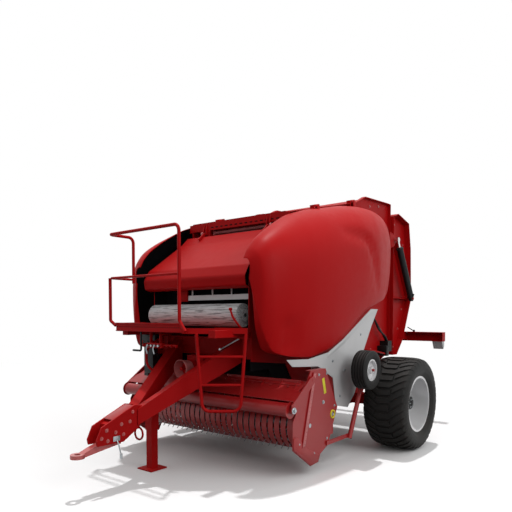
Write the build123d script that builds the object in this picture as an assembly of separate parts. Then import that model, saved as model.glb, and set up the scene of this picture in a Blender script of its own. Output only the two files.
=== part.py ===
from build123d import *
from math import atan2, cos, degrees, hypot, radians, sin, tan
import os

# A trailed round baler with a belt chamber, in millimetres.
# x is sideways with the machine's left at +x, and z is up from the ground.
# y is measured from the main axle while modelling, with the front towards -y.
# Outlines of side plates are lists of (y, z).

# overall reach before and behind the main axle
front_reach = 3320
rear_reach = 1900

# main wheels
tyre_radius = 510
tyre_width = 490
wheel_x = 1345
bead_radius = 292
rim_half = 200
rim_sheet = 8
rim_lip = 16
axle_z = tyre_radius
axle_tube = 120
axle_half = 990
stub_radius = 35
stub_end = 1300
hub_radius = 72
hub_reach = 110
run_clearance = 0.06
side_gap = 6

# chamber side plates
wall_outer = 663
wall_sheet = 8
wall_inner = wall_outer - wall_sheet
wall_flange = 42
wall_rear = 1098

# tailgate hinge, and the two ends of its cylinders
hinge_y = 1110
hinge_z = 2900
hinge_pin = 20
ear_radius = 62
notch_radius = 78
gate_flange = 84
eye_y = 1070
eye_z = 2500
trunnion_y = 1550
trunnion_z = 1730
trunnion_pin = 20
cylinder_x = 820
barrel_radius = 42
barrel_length = 790
rod_radius = 17

# rollers and belts of the chamber
top_roller_y = -1080
top_roller_z = 2360
top_roller_radius = 82
roller_shaft = 25
rib_height = 10
rib_count = 10
chamber_y = 450
chamber_z = 1870
bale_radius = 900
belt_sheet = 8
belt_width = 210
belt_count = 5
belt_pitch = 245
belt_roller = 40

# pick-up
pivot_y = -1000
pivot_z = 720
pivot_pin = 25
arm_inner = 690
arm_outer = 714
panel_x = 1125
panel_sheet = 8
panel_rib = 10
reel_y = -1570
reel_z = 470
reel_journal = 20
tine_reach = 283
bar_reach = 180
band_radius = 225
band_sheet = 3
band_width = 56
band_pitch = 73
band_count = 30
tine_size = 6
beam_front = -1240
guard_pivot_y = -1555
guard_pivot_z = 895
guard_pin = 16
roller_y = -1880
roller_z = 655
roller_radius = 62
roller_overhang = 3

# gauge wheels, folded up behind the pick-up
gauge_y = -730
gauge_z = 930
gauge_radius = 200
gauge_width = 165
gauge_x = 1275
gauge_bead = 105
gauge_pin = 14

# drawbar beams, measured along their own run, and the rails behind them
beam_width = 100
nose_x = 12
nose_back = 570
nose_low = 496
nose_top = 629
knee_x = 399
knee_y = -1790
knee_low = 1005
knee_top = 1234
rail_low = 1070
rail_top_z = 1270
rail_end = -760
eye_bore = 25
eye_outer = 58
eye_thick = 32
tow_eye_z = 350
stub_end_radius = 17.45
cheek_half = 70
cheek_sheet = 14

# parking jack
jack_x = -200
jack_back = 430
jack_tube = 90
jack_wall = 6
sleeve_low = 380
sleeve_hollow = 690
leg_top = 480
foot_size = 200
foot_sheet = 12

# platform, rail and ladder
deck_z = 1360
deck_sheet = 6
board_top = 1415
board_low = 1322
platform_y = -2370
platform_rear = -1935
platform_side = 680
support_x = 600
post_x = 265
corner_x = 342
corner_y = -2330
step_x = 745
step_y = -2008
rail_radius = 16
mid_radius = 12
rail_x = -750
rail_top = 2305
rail_middle = 1865
return_y = -2090
ladder_radius = 15
rung_radius = 13
ladder_low = 624
rung_heights = (1116, 861)

# net wrap unit
hood_half = 700
hood_sheet = 6
hood_hinge_y = -1312
hood_hinge_z = 2410
hood_pin = 10
hood_ear_x = 450
roll_y = -1900
roll_z = 1490
roll_radius = 110
roll_gap = 45
core_radius = 40
tray_y = -1720
bar_y = -1850

# side covers
cover_inner = 715
cover_sheet = 6
cover_hinge_x = 702
cover_hinge_y = -850
cover_hinge_z = 2655
cover_slope = 0.23
cover_pin = 8
fender_x = 1064
fender_sheet = 6


def block(x_span, y_span, z_span):
    spans = (x_span, y_span, z_span)
    middle = [(low + high) / 2 for low, high in spans]
    return Pos(*middle) * Box(*[high - low for low, high in spans])


def side_plate(outline, x_from, x_to, corner=0):
    line = FilletPolyline(*outline, radius=corner, close=True) if corner else Polyline(*outline, close=True)
    return Pos(x_from, 0, 0) * extrude(Plane.YZ * make_face(line), amount=x_to - x_from, dir=(1, 0, 0))


def disc_x(x_from, x_to, y, z, radius):
    return Pos((x_from + x_to) / 2, y, z) * Rot(0, 90, 0) * Cylinder(radius, x_to - x_from)


def disc_y(y_from, y_to, x, z, radius):
    return Pos(x, (y_from + y_to) / 2, z) * Rot(90, 0, 0) * Cylinder(radius, y_to - y_from)


def turned_x(profile, x, y, z):
    # profile is a closed list of (distance along x, radius)
    face = make_face(Polyline(*profile, close=True))
    return Pos(x, y, z) * revolve(face, axis=Axis.X)


def bar(points, radius, bend=0):
    path = FilletPolyline(*points, radius=bend) if bend else Line(*points)
    return sweep(Plane(origin=path @ 0, z_dir=path % 0) * Circle(radius), path=path)


def flange(outline, thickness, x_from, x_to):
    face = make_face(Polyline(*outline, close=True))
    strip = Plane.YZ * (face - offset(face, -thickness))
    return Pos(x_from, 0, 0) * extrude(strip, amount=x_to - x_from, dir=(1, 0, 0))


def both_sides(shape):
    return shape + mirror(shape, about=Plane.YZ)


# chamber side plates, which run forward past the net unit and carry every pivot
wall_outline = [
    (-1300, 1000), (-1060, 640), (-880, 600), (-250, 430), (250, 430), (520, 800), (wall_rear, 1000),
    (wall_rear, 2840), (wall_rear, 2990), (980, 2990), (350, 2965), (110, 2855), (-1300, 2530),
    (-1300, 2310), (-1430, 2215), (-1860, 1915), (-1885, 1860), (-1885, 1340), (-1850, 1330), (-1850, 1055),
]
# places of the cover hinges along y, and how far each leaf reaches down
cover_hinge_places = ((-800, 46), (0, 118))


def hinge_point(y):
    return cover_hinge_z + cover_slope * (y - cover_hinge_y)


def on_cover_hinge(y, shape):
    return Pos(cover_hinge_x, y, hinge_point(y)) * Rot(degrees(atan2(cover_slope, 1)), 0, 0) * shape


def side_wall():
    outside = side_plate(wall_outline, wall_inner, wall_outer + wall_flange)
    shape = side_plate(wall_outline, wall_inner, wall_outer)
    edge = flange(wall_outline, wall_sheet, wall_outer, wall_outer + wall_flange)
    shape += edge - block((wall_inner, 710), (-1900, -860), (500, 2445))
    shape += disc_x(wall_inner, wall_outer, hinge_y, hinge_z, ear_radius)
    shape += disc_x(600, wall_outer + 12, hinge_y, hinge_z, hinge_pin)
    shape += disc_x(wall_outer, arm_outer + 26, pivot_y, pivot_z, pivot_pin)
    shape -= disc_x(wall_inner - 1, wall_outer + 1, top_roller_y, top_roller_z,
                    roller_shaft + run_clearance)
    for y, depth in cover_hinge_places:
        ear = block((wall_outer - cover_hinge_x, 10), (46, 60), (-75, 12))
        ears = on_cover_hinge(y, ear + mirror(ear, about=Plane.XZ))
        shape += ears - outside if depth < 50 else ears
        shape += on_cover_hinge(y, disc_y(-60, 60, 0, 0, cover_pin))
    lug = side_plate([(930, 2380), (1060, 2420), (1105, 2480), (1110, 2510), (1075, 2555), (930, 2600)],
                     757, 777)
    return shape + lug + block((wall_outer, 777), (930, 950), (2400, 2590))


# roof between the side plates: beams, sheet, and the pins that carry the net hood
def roof():
    sheet = 6
    line = [(-1180, 2530), (110, 2838), (350, 2940), (1020, 2989)]
    skin = side_plate(line + [(y, z - sheet) for y, z in reversed(line)], -wall_inner, wall_inner)
    shape = skin + block((-wall_inner, wall_inner), (-1300, -1180), (2450, 2540))
    shape += block((-wall_inner, wall_inner), (940, 1020), (2900, 2983))
    for x in (-hood_ear_x, hood_ear_x):
        for side in (-1, 1):
            spot = sorted((x + side * 14, x + side * 26))
            shape += side_plate([(-1300, 2452), (-1300, 2530), (-1322, 2450), (-1324, 2398),
                                 (-1298, 2398)], *spot)
        shape += disc_x(x - 26, x + 26, hood_hinge_y, hood_hinge_z, hood_pin)
    return shape


# ribbed roller above the net unit
def top_roller():
    half = wall_inner - side_gap
    shape = disc_x(-half, half, top_roller_y, top_roller_z, top_roller_radius)
    rib = block((-half, half), (-8, 8), (top_roller_radius - 4, top_roller_radius + rib_height))
    for step in range(rib_count):
        shape += Pos(0, top_roller_y, top_roller_z) * Rot(step * 360 / rib_count, 0, 0) * rib
    return shape + disc_x(-wall_outer, wall_outer, top_roller_y, top_roller_z, roller_shaft)


# belts around the chamber, with the rollers that carry them
def belt_arc(start, size):
    near = bale_radius + 12
    outer = CenterArc((chamber_y, chamber_z), near + belt_sheet, start, size)
    inner = CenterArc((chamber_y, chamber_z), near, start, size)
    return Plane.YZ * make_face(outer + inner + Line(outer @ 0, inner @ 0) + Line(outer @ 1, inner @ 1))


def belt_set(start, size, roller_angles):
    strip = extrude(belt_arc(start, size), amount=belt_width, dir=(1, 0, 0))
    first = -((belt_count - 1) * belt_pitch + belt_width) / 2
    reach = bale_radius + 12 + belt_sheet + belt_roller - 1
    pieces = [Pos(first + step * belt_pitch, 0, 0) * strip for step in range(belt_count)]
    for angle in roller_angles:
        y = chamber_y + reach * cos(radians(angle))
        z = chamber_z + reach * sin(radians(angle))
        pieces.append(disc_x(-wall_inner, wall_inner, y, z, belt_roller))
    return pieces[0].fuse(*pieces[1:])


# axle tube with its stubs
def axle():
    half = axle_tube / 2
    tube = block((-axle_half, axle_half), (-half, half), (axle_z - half, axle_z + half))
    slot = block((wall_inner, wall_outer), (-half - 1, half + 1), (axle_z - half - 1, axle_z + half + 1))
    return tube + both_sides(disc_x(axle_half, stub_end, 0, axle_z, stub_radius)) - both_sides(slot)


def rotor_housing():
    return side_plate([(-1060, 570), (-500, 570), (-330, 900), (-1040, 900)], -wall_inner, wall_inner, 60)


# tyre, rim and hub, turned about the wheel's own axle line
def tyre_profile(width, outer, bead, shoulder, crown, lip):
    half = width / 2
    return [
        (-lip, bead), (-lip, bead + 24), (-half, (outer + bead) / 2), (-half + 4, outer - shoulder - 10),
        (-half + shoulder, outer - crown), (0, outer), (half - shoulder, outer - crown),
        (half - 4, outer - shoulder - 10), (half, (outer + bead) / 2), (lip, bead + 24), (lip, bead),
    ]


def tyre():
    return turned_x(tyre_profile(tyre_width, tyre_radius, bead_radius, 34, 14, rim_half), wheel_x, 0,
                    axle_z)


def rim():
    inner = bead_radius - rim_sheet
    edge = rim_half + rim_sheet
    lip = bead_radius + rim_lip
    profile = [
        (-edge, inner), (-edge, lip), (-rim_half, lip), (-rim_half, bead_radius), (rim_half, bead_radius),
        (rim_half, lip), (edge, lip), (edge, inner), (-10, inner), (-62, 130), (-62, hub_radius),
        (-74, hub_radius), (-74, 140), (-24, inner),
    ]
    return turned_x(profile, wheel_x, 0, axle_z)


def hub():
    face = wheel_x - 74
    shape = disc_x(axle_half + 110, wheel_x + hub_reach, 0, axle_z, hub_radius)
    shape += disc_x(face - 14, face, 0, axle_z, 128)
    return shape - disc_x(axle_half + 109, stub_end + 2, 0, axle_z, stub_radius + run_clearance)


# tailgate
gate_outline = [
    (hinge_y, 950), (1250, 950), (1450, 1150), (1730, 1720), (1700, 2450), (1630, 2800), (1260, 2885),
    (hinge_y, 2830),
]


def tailgate():
    width = wall_outer + gate_flange
    side = side_plate(gate_outline, wall_inner, wall_outer)
    side += flange(gate_outline, 8, wall_outer, width)
    inside = side_plate(gate_outline, wall_outer, width)
    for y_from, z_from, y_to, z_to in [(hinge_y, 1730, 1735, 1730), (1250, 2500, 1690, 1790)]:
        rib = block((wall_outer, width - 6), (0, hypot(y_to - y_from, z_to - z_from)), (-5, 5))
        turn = degrees(atan2(z_to - z_from, y_to - y_from))
        side += Pos(0, y_from, z_from) * Rot(turn, 0, 0) * rib & inside
    side -= disc_x(wall_inner - 1, width + 1, hinge_y, hinge_z, notch_radius)
    side += disc_x(wall_outer, cylinder_x + 35, trunnion_y, trunnion_z, trunnion_pin)
    skin = flange(gate_outline, 6, -wall_inner, wall_inner)
    skin -= block((-wall_outer, wall_outer), (hinge_y - 1, hinge_y + 30), (900, 2950))
    skin -= disc_x(-wall_outer, wall_outer, hinge_y, hinge_z, notch_radius)
    beam = block((-wall_inner, wall_inner), (1215, 1290), (2790, 2872))
    lug = side_plate([(hinge_y - 5, hinge_z + 38), (hinge_y - 30, hinge_z - 20),
                      (hinge_y + 20, hinge_z - 45), (1240, 2800), (1280, 2870), (1180, hinge_z + 20)],
                     612, 636)
    lug += disc_x(612, 636, hinge_y, hinge_z, 40)
    lug -= disc_x(611, 637, hinge_y, hinge_z, hinge_pin + run_clearance)
    return both_sides(side) + skin + beam + both_sides(lug)


# hydraulic cylinders of the tailgate, modelled along +y and then leaned from the trunnion to the eye
cylinder_length = hypot(trunnion_y - eye_y, eye_z - trunnion_z)
cylinder_lean = degrees(atan2(eye_z - trunnion_z, eye_y - trunnion_y))


def along_cylinder(shape):
    return Pos(cylinder_x, trunnion_y, trunnion_z) * Rot(cylinder_lean, 0, 0) * shape


def cylinder_barrel():
    shape = disc_y(26, barrel_length, 0, 0, barrel_radius) + disc_x(-22, 22, 0, 0, 40)
    shape -= disc_y(60, barrel_length + 1, 0, 0, rod_radius + run_clearance)
    return along_cylinder(shape - disc_x(-23, 23, 0, 0, trunnion_pin + run_clearance))


def cylinder_rod():
    shape = disc_y(70, cylinder_length - 20, 0, 0, rod_radius) + disc_x(-18, 18, cylinder_length, 0, 34)
    return along_cylinder(shape + disc_x(-33, 24, cylinder_length, 0, 16))


# side cover, lofted through upright sections: columns are y, top z, bottom z, outer x
cover_stations = [
    (-2030, 2000, 1820, 790),
    (-1980, 2085, 1380, 905),
    (-1890, 2180, 1170, 970),
    (-1700, 2310, 1112, 1030),
    (-1400, 2470, 1092, 1075),
    (-1050, 2580, 1165, 1098),
    (-750, 2645, 1290, 1105),
    (-350, 2735, 1520, 1105),
    (0, 2785, 1625, 1080),
    (300, 2800, 1680, 1020),
    (560, 2770, 1790, 940),
    (760, 2650, 1930, 860),
    (880, 2440, 2060, 785),
]


def cover_section(y, top, bottom, outer, inner):
    width = outer - inner
    height = top - bottom
    middle = bottom + 0.55 * height
    upper = ThreePointArc((inner, top), (inner + 0.72 * width, top - 0.14 * height), (outer, middle))
    lower = ThreePointArc((outer, middle), (outer - 0.04 * width, bottom + 0.25 * height),
                          (outer - 0.14 * width, bottom))
    edges = upper + lower + Line(lower @ 1, (inner, bottom)) + Line((inner, bottom), (inner, top))
    return Plane(origin=(0, y, 0), x_dir=(1, 0, 0), z_dir=(0, -1, 0)) * make_face(edges)


def cover_hull(inset, inner_shift, low_shift):
    last = len(cover_stations) - 1
    sections = []
    for number, (y, top, bottom, outer) in enumerate(cover_stations):
        shift = inset if number == 0 else -inset if number == last else 0
        sections.append(cover_section(y + shift, top - inset, bottom - low_shift, outer - inset,
                                      cover_inner - inner_shift))
    return loft(sections, ruled=True)


def side_cover():
    shape = cover_hull(0, 0, 0) - cover_hull(cover_sheet, 30, 30)
    for y, depth in cover_hinge_places:
        knuckle = disc_y(-40, 40, 0, 0, 14)
        knuckle += block((0, 70), (-30, 30), (-14, -4)) + block((50, 70), (-30, 30), (-depth, -4))
        shape += on_cover_hinge(y, knuckle - disc_y(-41, 41, 0, 0, cover_pin + run_clearance))
    return shape


# silver panel below each side cover, curving in towards its front tip
fender_outline = [
    (-1710, 1078), (-1640, 1010), (-1300, 995), (-1040, 860), (-980, 570), (-730, 520), (-570, 660),
    (-370, 1110), (-180, 1380), (-30, 1560), (-200, 1560), (-850, 1232), (-1130, 1122), (-1450, 1072),
]


def fender():
    outer = Polyline((fender_x, 60), (fender_x, -1150), (fender_x - 30, -1450), (950, -1760))
    inner_x = fender_x - fender_sheet
    inner = Polyline((inner_x, 60), (inner_x, -1148), (inner_x - 30, -1446), (944, -1756))
    edges = outer + inner + Line(outer @ 0, inner @ 0) + Line(outer @ 1, inner @ 1)
    sheet = Pos(0, 0, 400) * extrude(make_face(edges), amount=1400)
    skin = sheet & side_plate(fender_outline, 900, 1100)
    return skin + block((wall_outer, inner_x), (-820, -780), (900, 940))


# drawbar: two box beams that meet behind the nose, and a rail beside each side plate
nose_y = nose_back - front_reach
jack_y = nose_y + jack_back
plan_run = hypot(knee_x - nose_x, knee_y - nose_y)
plan_turn = degrees(atan2(knee_x - nose_x, knee_y - nose_y))
beam_front_end = knee_y + 30


def beam_height(run, at_nose, at_knee):
    return at_nose + (at_knee - at_nose) * run / plan_run


def slanted_beam(width, raised):
    ends = (60, plan_run + 80)
    profile = [(run, beam_height(run, nose_low, knee_low)) for run in ends]
    profile += [(run, beam_height(run, nose_top, knee_top) + raised) for run in reversed(ends)]
    return Pos(nose_x, nose_y, 0) * Rot(0, 0, -plan_turn) * side_plate(profile, -width / 2, width / 2)


def drawbar_beam():
    front = slanted_beam(beam_width, 0) - hitch_nose()
    front -= block((-200, 1), (nose_y, knee_y), (400, 1300))
    front -= block((0, 800), (beam_front_end, beam_front_end + 200), (800, 1500))
    return front + block((wall_inner - beam_width, wall_inner), (knee_y, rail_end), (rail_low, rail_top_z))


def crossmember():
    inside = wall_inner - beam_width
    shape = block((-inside, inside), (beam_front_end, beam_front_end + 100), (rail_low + 20, rail_top_z))
    return shape + block((-inside, inside), (rail_end - 100, rail_end), (rail_low + 20, rail_low + 160))


# nose with two bolted cheeks, a core between them, and the ring that holds the drive shaft when parked
cheek_shape = [(-380, 455), (-370, 410), (-110, 405), (50, 500), (110, 690), (10, 705), (-330, 560)]
cheek_outline = [(nose_y + y, z) for y, z in cheek_shape]


def hitch_nose():
    shape = both_sides(side_plate(cheek_outline, cheek_half - cheek_sheet, cheek_half))
    core = [(-250, 440), (-110, 430), (10, 520), (60, 640), (-30, 660), (-250, 570)]
    shape += side_plate([(nose_y + y, z) for y, z in core], cheek_sheet - cheek_half,
                        cheek_half - cheek_sheet)
    shape += Pos(0, nose_y + 110, 428) * Rot(90, 0, 0) * Torus(54, 9)
    hook = [(90, 474), (118, 474), (118, 500), (50, 600), (10, 560)]
    return shape + side_plate([(nose_y + y, z) for y, z in hook], -8, 8)


def tow_eye():
    eye_middle = eye_outer - front_reach
    shape = Pos(0, eye_middle, tow_eye_z) * Cylinder(eye_outer, eye_thick)
    half = eye_thick / 2
    shank = [(eye_middle + 30, tow_eye_z - half), (eye_middle + 30, tow_eye_z + half), (nose_y - 390, 400),
             (nose_y - 250, 440), (nose_y - 110, 430), (nose_y - 110, 385), (nose_y - 330, 356)]
    bore = Pos(0, eye_middle, tow_eye_z) * Cylinder(eye_bore, 2 * eye_thick)
    return shape + side_plate(shank, -34, 34) - bore


# input gearbox with its splined stub, hung below the cross member
def gearbox():
    shape = block((-110, 110), (-1930, -1640), (945, rail_low + 20))
    shape += block((-90, 90), (-1900, -1780), (915, 945)) + disc_y(-2040, -1930, 0, 970, 70)
    return shape + disc_y(-2120, -2040, 0, 970, stub_end_radius)


# parking jack: square sleeve under the right beam, leg with foot plate
def jack_sleeve():
    half = jack_tube / 2
    hole = half - jack_wall
    shape = block((jack_x - half, jack_x + half), (jack_y - half, jack_y + half), (sleeve_low, 800))
    shape -= block((jack_x - hole, jack_x + hole), (jack_y - hole, jack_y + hole),
                   (sleeve_low - 1, sleeve_hollow))
    return shape - mirror(slanted_beam(3 * beam_width, 300), about=Plane.YZ)


def jack_leg():
    half = jack_tube / 2 - jack_wall - 0.3
    shape = block((jack_x - half, jack_x + half), (jack_y - half, jack_y + half), (foot_sheet, leg_top))
    foot = foot_size / 2
    return shape + block((jack_x - foot, jack_x + foot), (jack_y - foot, jack_y + foot), (0, foot_sheet))


# platform with toe boards and a slanted corner for the ladder
def platform():
    left = (280, platform_y)
    corner = (corner_x, corner_y)
    step = (step_x, step_y)
    plan = [(-platform_side, platform_y), left, corner, step, (690, platform_rear),
            (-platform_side, platform_rear)]
    deck = make_face(Polyline(*plan, close=True))
    shape = Pos(0, 0, deck_z - deck_sheet) * extrude(deck, amount=deck_sheet)
    edge = deck - offset(deck, -deck_sheet)
    front = Pos(0, 0, board_low + 8) * extrude(edge, amount=board_top - board_low - 8)
    slant = Pos(0, 0, board_low) * extrude(edge, amount=50)
    side = block((left[0], 800), (-2400, -1900), (board_low - 1, board_top + 1))
    rear = block((-700, 800), (platform_rear - 60, platform_rear + 10), (deck_z, board_top + 1))
    shape += front - side - rear
    shape += slant & side
    for x in (-support_x, support_x):
        shape += block((x - 40, x + 40), (-2320, platform_rear), (1290, deck_z - deck_sheet))
        shape += block((x - 40, x + 40), (platform_rear, knee_y + 90), (rail_top_z, deck_z - deck_sheet))
    return shape


def rail():
    front_y = platform_y - rail_radius - 0.1
    tall = bar([(corner_x, front_y, board_low + 20), (post_x, front_y, board_top + 25),
                (post_x, front_y, rail_top), (rail_x, front_y, rail_top), (rail_x, return_y, rail_top),
                (rail_x, return_y, rail_middle - 40)], rail_radius, (25, 60, 40, 60))
    middle = bar([(post_x, front_y, rail_middle), (rail_x, front_y, rail_middle),
                  (rail_x, return_y, rail_middle)], mid_radius, 40)
    short = bar([(rail_x, front_y, rail_middle), (rail_x, front_y, board_top + 20),
                 (-platform_side - 10, front_y + rail_radius + 4, board_top - 30)], rail_radius, 30)
    return tall + middle + short


ladder_left = (746, -2030)
ladder_right = (399, -2307)
ladder_inset = 52


def ladder_spot(share, z, inset=0):
    span_x = ladder_left[0] - ladder_right[0]
    span_y = ladder_left[1] - ladder_right[1]
    share += inset / hypot(span_x, span_y) * (1 if share < 0.5 else -1)
    return (ladder_right[0] + share * span_x, ladder_right[1] + share * span_y, z)


def ladder():
    shape = bar([ladder_spot(0, board_low), ladder_spot(0, ladder_low, ladder_inset),
                 ladder_spot(1, ladder_low, ladder_inset), ladder_spot(1, board_low)], ladder_radius, 75)
    for z in rung_heights:
        inset = ladder_inset * (board_low - z) / (board_low - ladder_low)
        shape += bar([ladder_spot(0, z, inset), ladder_spot(1, z, inset)], rung_radius)
    return shape


# black tray and back panel of the net unit, with the arms and plugs that carry the roll
roll_half = wall_inner - roll_gap


def net_tray():
    panel = [(tray_y, 1366), (tray_y + 80, 1366), (-1500, 2030), (-1560, 2070), (tray_y, 1880)]
    shape = side_plate(panel, -wall_inner, wall_inner)
    shape += block((-wall_inner, wall_inner), (platform_rear + 70, tray_y), (1366, 1372))
    plug = disc_x(roll_half - 40, roll_half + side_gap, roll_y, roll_z, core_radius - 0.08)
    arm = [(tray_y, roll_z - 20), (tray_y, roll_z + 60), (roll_y - 20, roll_z + 24),
           (roll_y - 30, roll_z - 20)]
    plug += side_plate(arm, roll_half + side_gap, roll_half + side_gap + 8)
    return shape + both_sides(plug)


def net_roll():
    shape = disc_x(-roll_half, roll_half, roll_y, roll_z, roll_radius)
    return shape - disc_x(-roll_half - 1, roll_half + 1, roll_y, roll_z, core_radius)


def net_bar():
    shape = block((-180, wall_inner), (bar_y, bar_y + 20), (1640, 1690))
    for step in range(4):
        x = -120 + step * 230
        shape += block((x - 6, x + 6), (bar_y + 20, tray_y), (1655, 1675))
    return shape


# curved hood over the net unit, hinged at its rear top edge
hood_curve = [(-1340, 2372), (-1450, 2275), (-1925, 1955), (-1992, 1850), (-1975, 1762), (-1905, 1745)]


def hood():
    line = FilletPolyline(*hood_curve, radius=(150, 60, 60, 25))
    face = trace(line, line_width=hood_sheet)
    shape = Pos(-hood_half, 0, 0) * extrude(Plane.YZ * face, amount=2 * hood_half, dir=(1, 0, 0))
    for x in (-hood_ear_x, hood_ear_x):
        ear = side_plate([(-1400, 2318), (-1340, 2368), (-1306, 2394), (-1312, 2424), (-1336, 2416),
                          (-1420, 2345)], x - 8, x + 8)
        shape += ear + disc_x(x - 8, x + 8, hood_hinge_y, hood_hinge_z, 18)
        shape -= disc_x(x - 9, x + 9, hood_hinge_y, hood_hinge_z, hood_pin + run_clearance)
    return shape


# pick-up frame: rear beam, deck and pivot arms
def pickup_beam():
    shape = block((-panel_x, panel_x), (beam_front, -1140), (320, 460))
    shape += block((-panel_x, panel_x), (beam_front, -1100), (642, 650))
    shape += block((-panel_x, panel_x), (-1112, -1104), (560, 642))
    for x in (-1000, -560, 560, 1000):
        rib = [(beam_front + 4, 460), (-1140, 460), (-1106, 560), (-1106, 642), (beam_front + 4, 642)]
        shape += side_plate(rib, x - 4, x + 4)
    arm = side_plate([(beam_front, 320), (-1140, 320), (-930, 660), (-940, 780), (-1060, 790),
                      (beam_front, 500)], arm_inner, arm_outer)
    arm += disc_x(arm_inner, arm_outer, pivot_y, pivot_z, 60)
    arm -= disc_x(arm_inner - 1, arm_outer + 1, pivot_y, pivot_z, pivot_pin + run_clearance)
    return shape + both_sides(arm)


panel_outline = [(-1560, 980), (-1850, 540), (-1850, 290), (-1560, 90), (-1430, 100), (-1390, 170),
                 (-1250, 230), (-1070, 580), (-1300, 980)]


def pickup_panel():
    outer = panel_x + panel_sheet
    shape = side_plate(panel_outline, panel_x, outer)
    shape += block((panel_x - 50, panel_x), (-1560, -1300), (972, 980))
    shape += side_plate([(-1530, 960), (-1478, 960), (-1664, 290), (-1716, 290)], outer, outer + panel_rib)
    shape -= disc_x(panel_x - 1, outer + 20, reel_y, reel_z, reel_journal + run_clearance)
    return shape + disc_x(outer, guard_x + 14, guard_pivot_y, guard_pivot_z, guard_pin)


def band_outline(radius, rear, top_angle, low_angle):
    top = (reel_y + radius * cos(radians(top_angle)), reel_z + radius * sin(radians(top_angle)))
    low = (reel_y + radius * cos(radians(low_angle)), reel_z + radius * sin(radians(low_angle)))
    top_end = (rear, top[1] - (rear - top[0]) / tan(radians(top_angle)))
    low_end = (rear, low[1] - (rear - low[0]) / tan(radians(low_angle)))
    arc = CenterArc((reel_y, reel_z), radius, top_angle, low_angle + 360 - top_angle)
    return make_face(arc + Line(low, low_end) + Line(low_end, top_end) + Line(top_end, top))


def pickup_bands():
    strip = band_outline(band_radius, beam_front, 82, -74)
    strip -= band_outline(band_radius - band_sheet, beam_front + 5, 82, -74)
    band = extrude(Plane.YZ * strip, amount=band_width, dir=(1, 0, 0))
    first = -((band_count - 1) * band_pitch + band_width) / 2
    return Compound(children=[Pos(first + step * band_pitch, 0, 0) * band for step in range(band_count)])


def tine_reel():
    half = panel_x - side_gap
    shape = disc_x(-half, half, reel_y, reel_z, 38)
    shape += disc_x(-panel_x - panel_sheet, panel_x + panel_sheet, reel_y, reel_z, reel_journal)
    for x in (-half + 8, -370, 370, half - 8):
        shape += disc_x(x - 4, x + 4, reel_y, reel_z, bar_reach + 16)
    teeth = []
    for turn in range(4):
        place = Pos(0, reel_y, reel_z) * Rot(45 + 90 * turn, 0, 0)
        teeth.append(place * disc_x(-half, half, 0, bar_reach, 15))
        for step in range(band_count - 1):
            x = (step - (band_count - 2) / 2) * band_pitch
            tine = block((x - tine_size / 2, x + tine_size / 2), (-3, 3), (bar_reach, tine_reach))
            teeth.append(place * tine)
    return shape.fuse(*teeth)


# wind guard: arms outside the panels, sheets between them, and the crop roller in front
guard_x = panel_x + panel_sheet + panel_rib + 5
roller_half = panel_x + roller_overhang


def wind_guard():
    arm = side_plate([(roller_y - 30, roller_z - 20), (roller_y + 30, roller_z - 35),
                      (guard_pivot_y + 30, 880), (guard_pivot_y + 10, 925), (guard_pivot_y - 40, 920),
                      (roller_y - 20, roller_z + 50)], guard_x, guard_x + 12)
    arm += disc_x(guard_x, guard_x + 12, guard_pivot_y, guard_pivot_z, 34)
    arm -= disc_x(guard_x - 1, guard_x + 13, guard_pivot_y, guard_pivot_z, guard_pin + run_clearance)
    arm += disc_x(roller_half - 20, guard_x, roller_y, roller_z, 16)
    front = [(-1862, 730), (-1858, 736), (-1742, 806), (-1738, 800)]
    rear = [(-1742, 798), (-1744, 805), (-1580, 880), (-1578, 873)]
    shape = both_sides(arm) + side_plate(front, -guard_x, guard_x)
    shape += side_plate(rear, side_gap - panel_x, panel_x - side_gap)
    return shape + bar([(side_gap - panel_x, -1600, 848), (panel_x - side_gap, -1600, 848)], 20)


def crop_roller():
    shape = disc_x(-roller_half, roller_half, roller_y, roller_z, roller_radius)
    for x in (-roller_half, roller_half - 6):
        shape += disc_x(x, x + 6, roller_y, roller_z, roller_radius + 12)
    bore = disc_x(roller_half - 30, roller_half + 1, roller_y, roller_z, 16 + run_clearance)
    return shape - both_sides(bore)


# gauge wheel leg, folded up, with its tyre and rim
def gauge_leg():
    outer = panel_x + panel_sheet
    shape = block((outer, outer + 14), (-1290, -850), (235, 275))
    shape += bar([(outer + 26, -868, 228), (outer + 26, -600, 770)], 24)
    shape += side_plate([(-640, 690), (-590, 770), (-700, 960), (-760, 960), (-760, 900)], outer + 16,
                        outer + 30)
    return shape + disc_x(outer + 16, gauge_x + gauge_width / 2 + 6, gauge_y, gauge_z, gauge_pin)


def gauge_tyre():
    profile = tyre_profile(gauge_width, gauge_radius, gauge_bead, 22, 8, 62)
    return turned_x(profile, gauge_x, gauge_y, gauge_z)


def gauge_rim():
    bore = gauge_pin + run_clearance
    inner = gauge_bead - 8
    profile = [(-66, inner), (-66, 112), (-62, 112), (-62, gauge_bead), (62, gauge_bead), (62, 112),
               (66, 112), (66, inner), (30, inner), (20, 40), (70, 40), (70, bore), (-60, bore), (-60, 40),
               (12, 40), (22, inner)]
    return turned_x(profile, gauge_x, gauge_y, gauge_z)


# rear lamp beam, carried by two arms from the tailgate
def lamp_beam():
    front = rear_reach - 110
    shape = block((-1190, 1190), (front, rear_reach), (1120, 1250))
    shape -= block((-1184, 1184), (front - 1, rear_reach - 6), (1126, 1244))
    for x in (-600, 600):
        arm = [(1455.2, 1160.2), (1494.2, 1239.6), (rear_reach - 4, 1240), (rear_reach - 4, 1130)]
        shape += side_plate(arm, x - 30, x + 30)
    return shape


def rear_lamps():
    lamp = [(rear_reach - 100, 1120), (rear_reach - 8, 1120), (rear_reach - 8, 1050),
            (rear_reach - 40, 1010)]
    return both_sides(side_plate(lamp, 1040, 1180))


# valve box behind the left side plate, hose stand and crank under the platform
def valve_box():
    return block((wall_outer, 780), (880, 1000), (1010, 1150))


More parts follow.
